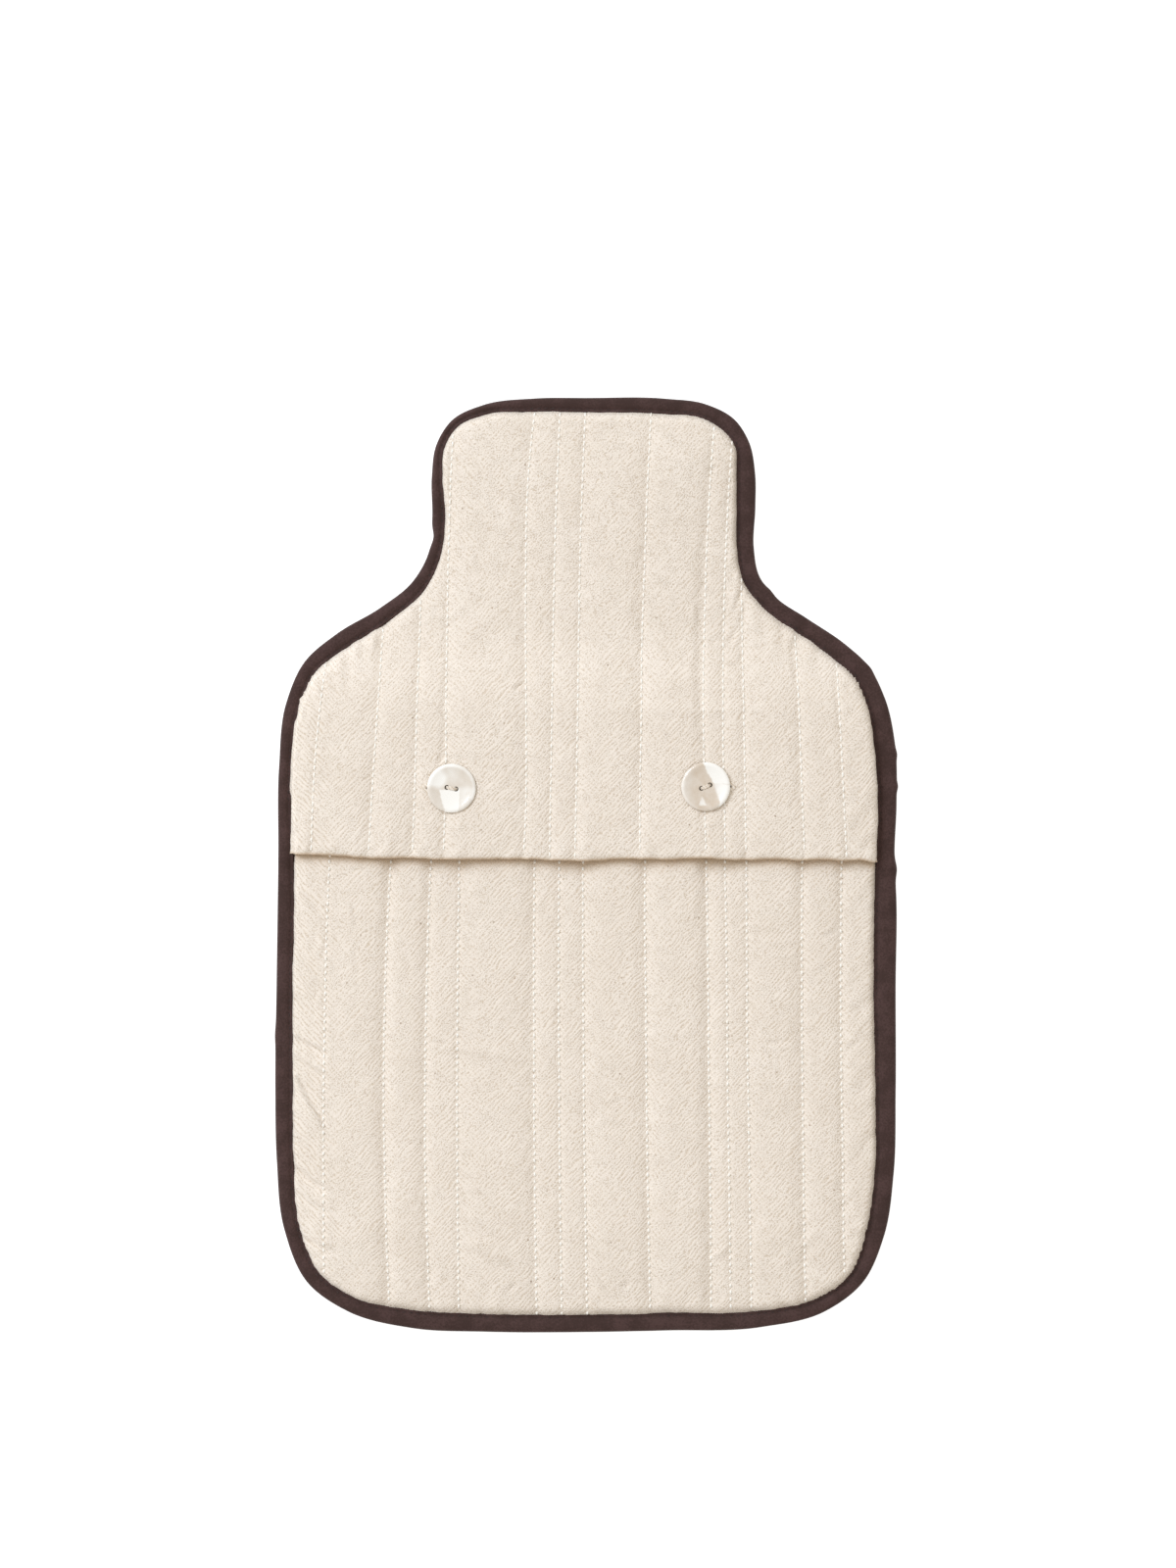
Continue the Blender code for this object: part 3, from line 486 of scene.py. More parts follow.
@dataclass(frozen=True)
class Spots:
    """Points on a panel, and where they lie on it."""

    xy: Floats
    past: Floats                # distance in from the binding's inner edge
    around: Floats              # how far round the cover the nearest place on its edge is
    facing: Floats              # 1 beside the cover's left side, -1 beside its right one
    gap: Floats                 # to the right of the nearest line of stitches; left below 0
    share: Floats               # place across the channel, from 0 at its left line to 1
    width: Floats               # the channel's width
    pull: Floats                # how far the nearest line draws the cloth down beside it


@dataclass(frozen=True)
class Button:
    """Where a button sits, how it is turned, and where its buttonhole lies."""

    side: Side
    x: float
    y: float
    turn: float                 # direction of its two holes, in degrees
    slot_shift: float           # from the button's middle to the buttonhole's

    def slot_reach(self, xy: Floats, grow: float = 0.0) -> Floats:
        """Return how far out from the slot's middle points are: 1 is its edge."""
        across = (xy[:, 0] - self.x - self.slot_shift) / (SLOT_HALF + grow)
        return np.hypot(across, (xy[:, 1] - self.y) / (SLOT_WIDE + grow))


BUTTONS = (
    Button(Side.LEFT, -51.9, 29.8, -10.0, -0.6),
    Button(Side.RIGHT, 46.2, 30.4, 22.0, 0.8),
)


@dataclass(frozen=True)
class Layers:
    """Heights of the cover's layers from the table up, and how they rise from the binding."""

    tape: float = 1.0           # the binding's cloth, folded in under itself
    gap: float = 0.3            # between two layers that touch
    pressed: float = 1.2        # a quilted layer inside the binding
    sewn: float = 1.5           # a quilted layer at a line of stitches
    puff: float = 2.1           # what a wide channel swells by beyond that
    wide: float = 24.0          # a channel this wide swells in full
    crown_power: float = 3.8    # how full a channel's section is: 2 would be a parabola
    hollow: float = 3.6         # height inside the empty cover
    flap_rest: float = 1.4      # from the lower panel to the flap lying on it
    arch: float = 44.0          # distance from the binding over which the front rises
    rolled: float = 0.5         # share of that rise that is in the roll beside the binding
    swell_in: float = 3.8       # width of that roll
    tight: float = 0.45         # how much narrower it is at the cover's sides
    tucked: float = 0.35        # how far under the binding it starts
    hidden_edge: float = 58.0   # how far along the lower panel's hidden edge lies
    edge_fall: float = 7.0      # past it, the flap's bound edge comes down over this far
    rim_start: float = 7.0      # the binding climbs from this far before the flap's fold
    rim_climb: float = 6.2      # over this far
    seat_radius: float = 8.2    # a button presses the cloth this far out
    seat_blend: float = 1.5     # and the cloth swells again over this width
    seat_sink: float = 0.8      # how far a button draws the flap down
    seat_thick: float = 2.1     # thickness of the cloth under a button

    @property
    def loft(self) -> float:
        """Thickness of a layer on the crown of a wide channel."""
        return self.sewn + self.puff

    @property
    def rest(self) -> float:
        """Height of the underside of the back's edge."""
        return self.tape + self.gap

    @property
    def front_edge(self) -> float:
        """Height of the middle of a front layer's edge."""
        return self.rest + self.pressed + self.gap + self.pressed / 2

    @property
    def front_crown(self) -> float:
        """Height of the middle of the front's first layer, at its highest."""
        return self.loft + self.hollow + self.loft / 2

    def flap_edge(self, x: Floats) -> Floats:
        """Return how far along the flap's folded edge lies."""
        flat = np.stack([x, np.zeros_like(x)], axis=1)
        return drawn_through(FLAP_EDGE, x) + 0.14 * Unevenness(2.3, 2.3, seed=22).at(flat)

    def fold_hollow(self, x: Floats) -> Floats:
        """Return how hollow it is under the flap's edge, from 0 to 1."""
        return np.clip(sum(deep * bell(x - at, half) for at, half, deep in FOLD_HOLLOWS), 0, 1)

    def roll(self, spots: Spots) -> Floats:
        """Return how far through its roll beside the binding the cloth is, from 0 to 1."""
        reach = self.swell_in * (1.0 - self.tight * np.abs(spots.facing))
        return np.clip((spots.past + self.tucked) / reach, 0.0, 1.0)

    def swell(self, spots: Spots) -> Floats:
        """Return how far the cloth has swelled at a distance in from the binding."""
        return settle(self.roll(spots), 2.2)

    def crown(self, spots: Spots) -> Floats:
        """Return how high in its channel's section the cloth is, from 0 to 1."""
        return 1.0 - np.abs(2.0 * spots.share - 1.0) ** self.crown_power

    def sway(self, xy: Floats) -> Floats:
        """Return the slow rise and fall of the front."""
        x, y = (xy * 2 * math.pi).T
        return sum(high * np.sin(start + x / across + y / along) for high, across, along, start in SWAYS)

    def front_level(self, spots: Spots) -> Floats:
        """Return the middle of the front's first layer, rising from the binding."""
        rise = self.rolled * settle(self.roll(spots)) + (1.0 - self.rolled) * settle(spots.past / self.arch)
        return self.front_edge + (self.front_crown + self.sway(spots.xy) - self.front_edge) * rise

    def puffed(self, spots: Spots) -> Floats:
        """Return how thick the quilted cloth is, channel by channel."""
        full = self.sewn + self.crown(spots) * self.puff * np.clip(spots.width / self.wide, 0.0, 1.0) ** 0.8
        return self.pressed + (full - self.pressed) * self.swell(spots)

    def under_button(self, xy: Floats) -> Floats:
        """Return 1 where a button presses on the cloth, falling to 0 round it."""
        reach = np.min([np.hypot(xy[:, 0] - b.x, xy[:, 1] - b.y) for b in BUTTONS], axis=0)
        return 1.0 - smooth((reach - self.seat_radius) / self.seat_blend)

    def flattened(self, thick: Floats, xy: Floats) -> Floats:
        """Return how thick the cloth is where the buttons press on it."""
        return thick + (np.minimum(thick, self.seat_thick) - thick) * self.under_button(xy)

    def rim_height(self, xy: Floats) -> Floats:
        """Return how high the binding stands: over two layers, or three beside the flap."""
        third = (smooth((xy[:, 1] - self.flap_edge(xy[:, 0]) + self.rim_start) / self.rim_climb)
                 * (1.0 - smooth((xy[:, 1] - self.hidden_edge - self.gap) / self.edge_fall)))
        return self.front_edge + self.pressed / 2 + self.gap + self.tape + (self.pressed + self.gap) * third


# ------------------------------------------------------------------------------- meshes

def new_object(name: str, data: bpy.types.ID) -> Piece:
    """Return an object made of a mesh, a lamp or a camera, now in the scene."""
    made = bpy.data.objects.new(name, data)
    bpy.context.scene.collection.objects.link(made)
    return made


def new_mesh(name: str, points: Floats, faces: Faces) -> bpy.types.Mesh:
    """Return a mesh made of points in millimetres."""
    mesh = bpy.data.meshes.new(name)
    mesh.from_pydata((points * MM).tolist(), [], faces)
    return mesh


def add_piece(name: str, points: Floats, faces: Faces, material: Material) -> Piece:
    """Make a piece that rides on the cover.

    Args:
        name: The piece's name.
        points: Its points in millimetres.
        faces: Its faces, as numbers of points.
        material: Its finish.

    Returns:
        The piece.
    """
    piece = new_object(name, new_mesh(name, points, faces))
    piece.data.shade_smooth()
    piece.data.materials.append(material)
    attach(piece, BODY)
    return piece


def add_value(piece: Piece, name: str, values: Floats) -> None:
    """Give each point of a piece a number that its material reads."""
    made = piece.data.attributes.new(name, "FLOAT", "POINT")
    made.data.foreach_set("value", values.astype(np.float32))


def turn_out(piece: Piece) -> None:
    """Turn a closed piece's faces outward.

    Args:
        piece: The piece, its faces all turned the same way.
    """
    shape = bmesh.new()
    shape.from_mesh(piece.data)
    if shape.calc_volume(signed=True) < 0:
        bmesh.ops.reverse_faces(shape, faces=shape.faces)
    shape.to_mesh(piece.data)
    shape.free()


def strand_mesh(paths: Floats, across: Floats, radius: float, sides: int = 6) -> tuple[Floats, Faces]:
    """Make short round strands of thread, all with the same number of points.

    Args:
        paths: The points that each strand follows: strands, points, 3.
        across: A direction square to each strand: strands, 3.
        radius: Radius of the thread.
        sides: Sides of its section.

    Returns:
        Points and faces.
    """
    ahead = np.gradient(paths, axis=1)
    ahead /= np.linalg.norm(ahead, axis=2)[:, :, None]
    second = np.cross(ahead, np.broadcast_to(across[:, None, :], ahead.shape))
    second /= np.linalg.norm(second, axis=2)[:, :, None]
    first = np.cross(second, ahead)
    turn = np.arange(sides) * 2 * math.pi / sides
    ring = (first[:, :, None, :] * np.cos(turn)[None, None, :, None]
            + second[:, :, None, :] * np.sin(turn)[None, None, :, None])
    count, steps = paths.shape[:2]
    size = np.full(steps, radius)
    size[[0, -1]] *= 0.6
    points = paths[:, :, None, :] + ring * size[None, :, None, None]
    faces: Faces = []
    for base in range(0, count * steps * sides, steps * sides):
        for low in range(base, base + (steps - 1) * sides, sides):
            faces += [[low + j, low + (j + 1) % sides, low + sides + (j + 1) % sides, low + sides + j]
                      for j in range(sides)]
        faces.append([base + j for j in reversed(range(sides))])
        faces.append([base + (steps - 1) * sides + j for j in range(sides)])
    return points.reshape(-1, 3), faces


# ----------------------------------------------------------------------------- finishes

def linear(colour: str) -> tuple[float, ...]:
    """Turn an sRGB hex colour into linear red, green, blue and alpha."""
    parts = [int(colour[k:k + 2], 16) / 255 for k in (1, 3, 5)]
    return (*(v / 12.92 if v <= 0.04045 else ((v + 0.055) / 1.055) ** 2.4 for v in parts), 1.0)


def set_inputs(node: bpy.types.Node, values: dict[str, object]) -> None:
    """Give some inputs of a node the values that they hold."""
    for name, value in values.items():
        node.inputs[name].default_value = value


def add_node(tree: Tree, kind: str, links: dict[str | int, object] | None = None,
             **settings: object) -> Outputs:
    """Add a node with its settings and links.

    Args:
        tree: The material's nodes.
        kind: The node's type, without the ShaderNode that they all start with.
        links: For each input, the output that feeds it or the value that it holds.
        settings: The node's own settings.

    Returns:
        The node's outputs.
    """
    node = tree.nodes.new(f"ShaderNode{kind}")
    for name, value in settings.items():
        setattr(node, name, value)
    for name, value in (links or {}).items():
        if isinstance(value, bpy.types.NodeSocket):
            tree.links.new(value, node.inputs[name])
        else:
            node.inputs[name].default_value = value
    return node.outputs


@dataclass(frozen=True, kw_only=True)
class Finish:
    """What every finish has: the values on its shader, and a pattern of colour and relief."""

    name: str
    roughness: float
    ior: float = 1.5
    specular: float = 0.5
    sheen: float = 0.0
    sheen_roughness: float = 0.5
    coat: float = 0.0
    coat_roughness: float = 0.03
    relief: float = 0.0         # height of the pattern
    strength: float = 1.0       # how much of that shows

    def pattern(self, tree: Tree, place: Socket) -> tuple[Socket, Socket | None]:
        """Return the colour at a place, and its height if the pattern is raised."""
        raise NotImplementedError

    def make(self) -> Material:
        """Make the material.

        Returns:
            The material, with its pattern linked to its shader.
        """
        material = bpy.data.materials.new(self.name)
        material.use_nodes = True
        tree = material.node_tree
        shader = tree.nodes["Principled BSDF"]
        set_inputs(shader, {
            "Roughness": self.roughness, "IOR": self.ior, "Specular IOR Level": self.specular,
            "Sheen Weight": self.sheen, "Sheen Roughness": self.sheen_roughness,
            "Coat Weight": self.coat, "Coat Roughness": self.coat_roughness,
        })
        colour, height = self.pattern(tree, add_node(tree, "TexCoord")["Object"])
        tree.links.new(colour, shader.inputs["Base Color"])
        if height is not None:
            bump = add_node(tree, "Bump", {
                "Strength": self.strength, "Distance": self.relief * MM, "Height": height,
            })[0]
            tree.links.new(bump, shader.inputs["Normal"])
        return material


@dataclass(frozen=True, kw_only=True)
class BrushedCottonTwill(Finish):
    """Unbleached cotton twill, woven and brushed: a soft nap over slanting ribs.

    The nap scatters the light, so it is matt with a faint sheen on its slopes. Bits of
    seed husk that were never bleached out show as small brown specks.
    """

    name: str = "brushed cotton twill"
    roughness: float = 0.95
    specular: float = 0.2
    sheen: float = 0.25
    sheen_roughness: float = 0.6
    relief: float = 0.2
    cloth: str = "#F5ECE1"
    shade: str = "#D6C7B4"          # painted shade down between its ribs, also the colour of random blotches
    husk: str = "#8A6B4C"
    between: str = "#D3BDA3"        # painted shade under the flap's fold, warm as if lit through the nap
    rib: float = 1.35               # real ribs are 0.5 mm; drawn coarser, so that they show
    rib_run: float = 3.0            # how far a rib runs before the brushing blurs it
    slant: float = 47.0             # direction of the ribs, in degrees from the cover's width
    counter_slant: float = -46.0    # and where they lean the other way
    # Size of the nap's tufts, of brushed places and of blotches, then how mixed they are,
    # the least noise that counts, and what they go from and to.
    nap: tuple[float, ...] = (0.55, 1.0, 0.3, 0.0, 1.0)
    brushed: tuple[float, ...] = (4.0, 1.0, 0.35, 0.4, 0.85)
    blotch: tuple[float, ...] = (14.0, 2.0, 0.3, 0.0, 0.16)
    # From one speck to the next, its size, how dark it is, and the share of places left bare.
    husks: Rows = ((5.0, 0.28, 0.5, 0.35), (20.0, 0.38, 0.85, 0.3))

    def pattern(self, tree: Tree, place: Socket) -> tuple[Socket, Socket]:
        """Weave the ribs, brush them, and scatter the husk.

        Args:
            tree: The material's nodes.
            place: Where on the cloth.

        Returns:
            The colour and the height there.
        """
        # fold is the share of painted shade under the flap's edge
        lean, soft, fold = (add_node(tree, "Attribute", attribute_name=name)["Fac"]
                            for name in ("lean", "soft", "fold"))
        ribs = self.ribs(tree, place, self.slant, self.rib)
        counter = self.ribs(tree, place, self.counter_slant, self.rib * 1.1)
        weave = add_node(tree, "Mix", {0: lean, 2: ribs, 3: counter})[0]
        nap, brushed, blotch = (self.patches(tree, place, *row)
                                for row in (self.nap, self.brushed, self.blotch))
        brushed = add_node(tree, "Math", {0: brushed, 1: soft}, operation="ADD", use_clamp=True)[0]
        height = add_node(tree, "Mix", {0: brushed, 2: weave, 3: nap})[0]
        # the tone paints shade into the low parts of the ribs, and varies at random over the nap
        tone = add_node(tree, "MapRange", {"Value": height, "From Min": 0.08, "From Max": 0.5})[0]
        husks = [(self.specks(tree, place, *row), self.husk) for row in self.husks]
        colour: object = linear(self.shade)
        # the last layer paints shade under the flap's fold
        for share, other in [(tone, self.cloth), (blotch, self.shade), *husks, (fold, self.between)]:
            colour = add_node(tree, "Mix", {0: share, 6: colour, 7: linear(other)}, data_type="RGBA")[2]
        return colour, height

    def ribs(self, tree: Tree, place: Socket, turn: float, wide: float) -> Socket:
        """Weave short wavering ribs that slant across the cloth.

        Args:
            tree: The material's nodes.
            place: Where on the cloth.
            turn: The ribs' direction in degrees.
            wide: From one rib to the next.

        Returns:
            Their height.
        """
        turned = add_node(tree, "Mapping", {
            "Vector": place, "Rotation": (0.0, 0.0, math.radians(turn)),
            "Scale": (self.rib_run * MM, wide * MM, 3.0 * MM),
        }, vector_type="TEXTURE")[0]
        return add_node(tree, "TexWave", {
            "Vector": turned, "Scale": 0.314, "Distortion": 7.0, "Detail": 1.0, "Detail Scale": 1.3,
        }, bands_direction="Y")["Fac"]

    @staticmethod
    def patches(tree: Tree, place: Socket, size: float, mixed: float, least: float, low: float,
                high: float) -> Socket:
        """Spread soft patches of one size over the cloth.

        Args:
            tree: The material's nodes.
            place: Where on the cloth.
            size: The patches' size.
            mixed: How much finer noise is in them.
            least: The least noise that counts; as much is left out at the top.
            low: The value between the patches.
            high: The value in them.

        Returns:
            The value.
        """
        noise = add_node(tree, "TexNoise", {"Vector": place, "Scale": 1.0 / (size * MM), "Detail": mixed})[0]
        return add_node(tree, "MapRange", {
            "Value": noise, "From Min": least, "From Max": 1.0 - least, "To Min": low, "To Max": high,
        })[0]

    @staticmethod
    def specks(tree: Tree, place: Socket, cell: float, size: float, dark: float, bare: float) -> Socket:
        """Scatter small specks, one in some of the cells of a loose net.

        Args:
            tree: The material's nodes.
            place: Where on the cloth.
            cell: Size of the net's cells.
            size: Size of a speck.
            dark: How dark the darkest one is.
            bare: Share of the cells that hold none.

        Returns:
            How dark it is, 0 between the specks.
        """
        scaled = add_node(tree, "Mapping", {"Vector": place, "Scale": (cell * MM,) * 3},
                          vector_type="TEXTURE")[0]
        net = add_node(tree, "TexVoronoi", {"Vector": scaled, "Scale": 1.0}, voronoi_dimensions="2D")
        near = add_node(tree, "MapRange", {
            "Value": net["Distance"], "From Min": size / cell * 1.3, "From Max": size / cell * 0.6,
        }, interpolation_type="SMOOTHSTEP")[0]
        chosen = add_node(tree, "MapRange", {"Value": net["Color"], "From Min": bare, "To Max": dark})[0]
        return add_node(tree, "Math", {0: near, 1: chosen}, operation="MULTIPLY")[0]


@dataclass(frozen=True, kw_only=True)
class DyedBindingCotton(Finish):
    """Plain woven cotton tape, dyed dark brown, pressed and sewn on.

    Its fine threads give a dull surface with hardly any sheen, a little worn and paler in
    places.
    """

    name: str = "plain woven brown cotton tape"
    roughness: float = 0.85
    specular: float = 0.15
    sheen: float = 0.03
    relief: float = 0.07
    cloth: str = "#41312E"
    worn: str = "#503D3B"
    thread: float = 0.75            # real threads are 0.3 mm; drawn coarser, so that they show
    rubbed: float = 7.0             # size of the worn places

    def pattern(self, tree: Tree, place: Socket) -> tuple[Socket, Socket]:
        """Weave the tape's threads, and wear some of them.

        Args:
            tree: The material's nodes.
            place: Where on the tape.

        Returns:
            The colour and the height there.
        """
        weave, rub = (
            add_node(tree, "TexNoise", {
                "Vector": place, "Scale": 1.0 / (size * MM), "Detail": detail, "Roughness": rough,
            })[0] for size, detail, rough in ((self.thread, 2.0, 0.6), (self.rubbed, 3.0, 0.5))
        )
        both = add_node(tree, "Math", {0: weave, 1: rub}, operation="MULTIPLY")[0]
        tone = add_node(tree, "MapRange", {"Value": both, "From Min": 0.14, "From Max": 0.38},
                        interpolation_type="SMOOTHSTEP")[0]
        colour = add_node(tree, "Mix", {0: tone, 6: linear(self.cloth), 7: linear(self.worn)},
                          data_type="RGBA")[2]
        return colour, weave


@dataclass(frozen=True, kw_only=True)
class SpunThread(Finish):
    """Spun sewing thread: two plies twisted together, matt, each stitch a little round."""

    light: str                      # colour of the plies
    dark: str                       # painted shade between them
    roughness: float = 0.8
    sheen: float = 0.15
    relief: float = 0.05
    strength: float = 0.6
    twist: float = 0.8              # length of one turn of the plies

    def pattern(self, tree: Tree, place: Socket) -> tuple[Socket, Socket]:
        """Twist the plies, with painted shade between them.

        Args:
            tree: The material's nodes.
            place: Where on the thread.

        Returns:
            The colour and the height there.
        """
        plies = add_node(tree, "TexWave", {
            "Vector": place, "Scale": 0.31 / (self.twist * MM), "Distortion": 1.2, "Detail": 1.0,
        }, bands_direction="DIAGONAL")["Fac"]
        tone = add_node(tree, "MapRange", {"Value": plies, "From Max": 0.5},
                        interpolation_type="SMOOTHSTEP")[0]
        colour = add_node(tree, "Mix", {0: tone, 6: linear(self.dark), 7: linear(self.light)},
                          data_type="RGBA")[2]
        return colour, plies


@dataclass(frozen=True)
class PaintedGlint:
    """A painted reflection where a shell's layers catch the light, with straight edges."""

    edges: tuple[Pair, ...]         # each faces a direction in degrees, this far out in radii
    pale: float                     # how pale the patch is, from 0 to 1
    soft: float = 0.06              # width over which it fades at its edges
    beyond: float = -1.0            # it only shows farther out than this many radii


@dataclass(frozen=True, kw_only=True)
class PolishedShell(Finish):
    """Mother-of-pearl, turned and polished: thin layers of pearl cut at a slant.

    Where a layer faces the light it is brilliant white with a crisp edge, and the next
    one beside it is grey or beige. These pale patches are painted reflections on each
    button's face, laid over the shell's own cloudy grey. The polish gives a clear gloss,
    strongest on the rim.
    """

    centre: Pair                    # middle of the button's face
    patches: tuple[PaintedGlint, ...]
    dip: str                        # colour of the layers that don't face the light
    pearl: str = "#FFFEFA"          # white of the painted reflections, on those that do
    bend: float = 0.09              # how far the patches' edges waver, in radii
    roughness: float = 0.2
    ior: float = 1.53
    coat: float = 0.5
    coat_roughness: float = 0.08

    def pattern(self, tree: Tree, place: Socket) -> tuple[Socket, None]:
        """Lay the painted reflections over cloudy shell.

        Args:
            tree: The material's nodes.
            place: Where on the button.

        Returns:
            The colour there, and no height, as it is polished.
        """
        local = add_node(tree, "Mapping", {
            "Vector": place, "Location": (self.centre[0] * MM, self.centre[1] * MM, 0.0),
            "Scale": (BUTTON_RADIUS * MM, BUTTON_RADIUS * MM, 100.0),
        }, vector_type="TEXTURE")[0]
        ripple = add_node(tree, "TexNoise", {"Vector": local, "Scale": 2.6, "Detail": 3.0, "Roughness": 0.6})
        shift = add_node(tree, "VectorMath", {0: ripple["Color"], 1: (0.5, 0.5, 0.5)},
                         operation="SUBTRACT")[0]
        bent = add_node(tree, "VectorMath", {0: shift, 1: (2 * self.bend, 2 * self.bend, 0.0), 2: local},
                        operation="MULTIPLY_ADD")[0]
        out = add_node(tree, "VectorMath", {0: local}, operation="LENGTH")["Value"]
        total = add_node(tree, "MapRange", {
            "Value": ripple["Fac"], "From Min": 0.35, "From Max": 0.7, "To Max": 0.3,
        })[0]
        for patch in self.patches:
            pale = add_node(tree, "MapRange", {
                "Value": out, "From Min": patch.beyond - patch.soft, "From Max": patch.beyond + patch.soft,
                "To Max": patch.pale,
            }, interpolation_type="SMOOTHSTEP")[0]
            for turn, reach in patch.edges:
                ahead = (math.cos(math.radians(turn)), math.sin(math.radians(turn)), 0.0)
                along = add_node(tree, "VectorMath", {0: bent, 1: ahead}, operation="DOT_PRODUCT")["Value"]
                inside = add_node(tree, "MapRange", {
                    "Value": along, "From Min": reach + patch.soft, "From Max": reach - patch.soft,
                }, interpolation_type="SMOOTHSTEP")[0]
                pale = add_node(tree, "Math", {0: pale, 1: inside}, operation="MULTIPLY")[0]
            total = add_node(tree, "Math", {0: total, 1: pale}, operation="ADD", use_clamp=True)[0]
        return add_node(tree, "Mix", {0: total, 6: linear(self.dip), 7: linear(self.pearl)},
                        data_type="RGBA")[2], None


# The colour between the painted reflections on each button, and those reflections.
SHELL_GLINTS = {
    Side.LEFT: ("#E2D9CD", (
        PaintedGlint(((90, -0.06), (195, 0.51), (-4, 0.33)), 1.0, 0.04),       # brilliant, below
        PaintedGlint(((28, 0.0), (258, 0.08), (321, -0.35)), 0.95, 0.16),      # upper left
        PaintedGlint(((176, -0.30), (85, 0.08)), 0.42, 0.14),                  # right
        PaintedGlint(((0, 0.25), (180, 0.3), (270, -0.3)), 0.35, 0.25),        # top
        PaintedGlint(((225, -0.25),), 0.55, 0.05, beyond=0.87),                # upper right of the rim
    )),
    Side.RIGHT: ("#D6C7B5", (
        PaintedGlint(((209, -0.36), (270, -0.17)), 1.0, 0.05),                 # upper right
        PaintedGlint(((174, -0.63), (90, 0.04)), 1.0, 0.05),                   # brilliant, right
        PaintedGlint(((202, -0.33), (90, 0.26)), 0.7, 0.08),                   # between those two
        PaintedGlint(((161, 0.03), (30, -0.34), (270, 0.75)), 0.7, 0.05),      # small, below
        PaintedGlint(((0, -0.6),), 0.3, 0.25),                                 # left
        PaintedGlint(((45, 0.0),), 0.15, 0.05, beyond=0.9),                    # left of the rim
    )),
}


# -------------------------------------------------------------------------------- panels

@dataclass(frozen=True)
class StitchKind:
    """One kind of stitch, made of five points from hole to hole."""

    pitch: float                # from one needle hole to the next
    length: float               # how much of the thread shows between two holes
    radius: float               # of the thread
    rise: float = 0.10          # how far its middle stands off the cloth
    dive: float = 0.45          # how far its ends go down into the cloth
    tuck: float = 0.15          # how far it draws the cloth down at its holes, halved
    bend: float = 0.32          # it bends down this share of its length from the middle

    @property
    def steps(self) -> Floats:
        """How far each point is from the middle, along the stitch."""
        return np.array([-0.5, -self.bend, 0.0, self.bend, 0.5]) * self.length

    @property
    def lift(self) -> Floats:
        """How far each point stands off the cloth."""
        return np.array([-self.dive, 0.0, self.rise, 0.0, -self.dive])


def rows_round(depth: float, count: int) -> Floats:
    """Return rows that are close together where cloth turns, up to a depth from its fold."""
    return depth * (1.0 - np.cos(np.linspace(0.0, math.pi / 2, count)))


def rounded(depth: Floats, least: float) -> Floats:
    """Return how thick cloth is beside its fold: a quarter circle from the least to 1."""
    return least + (1.0 - least) * np.sqrt(settle(depth))


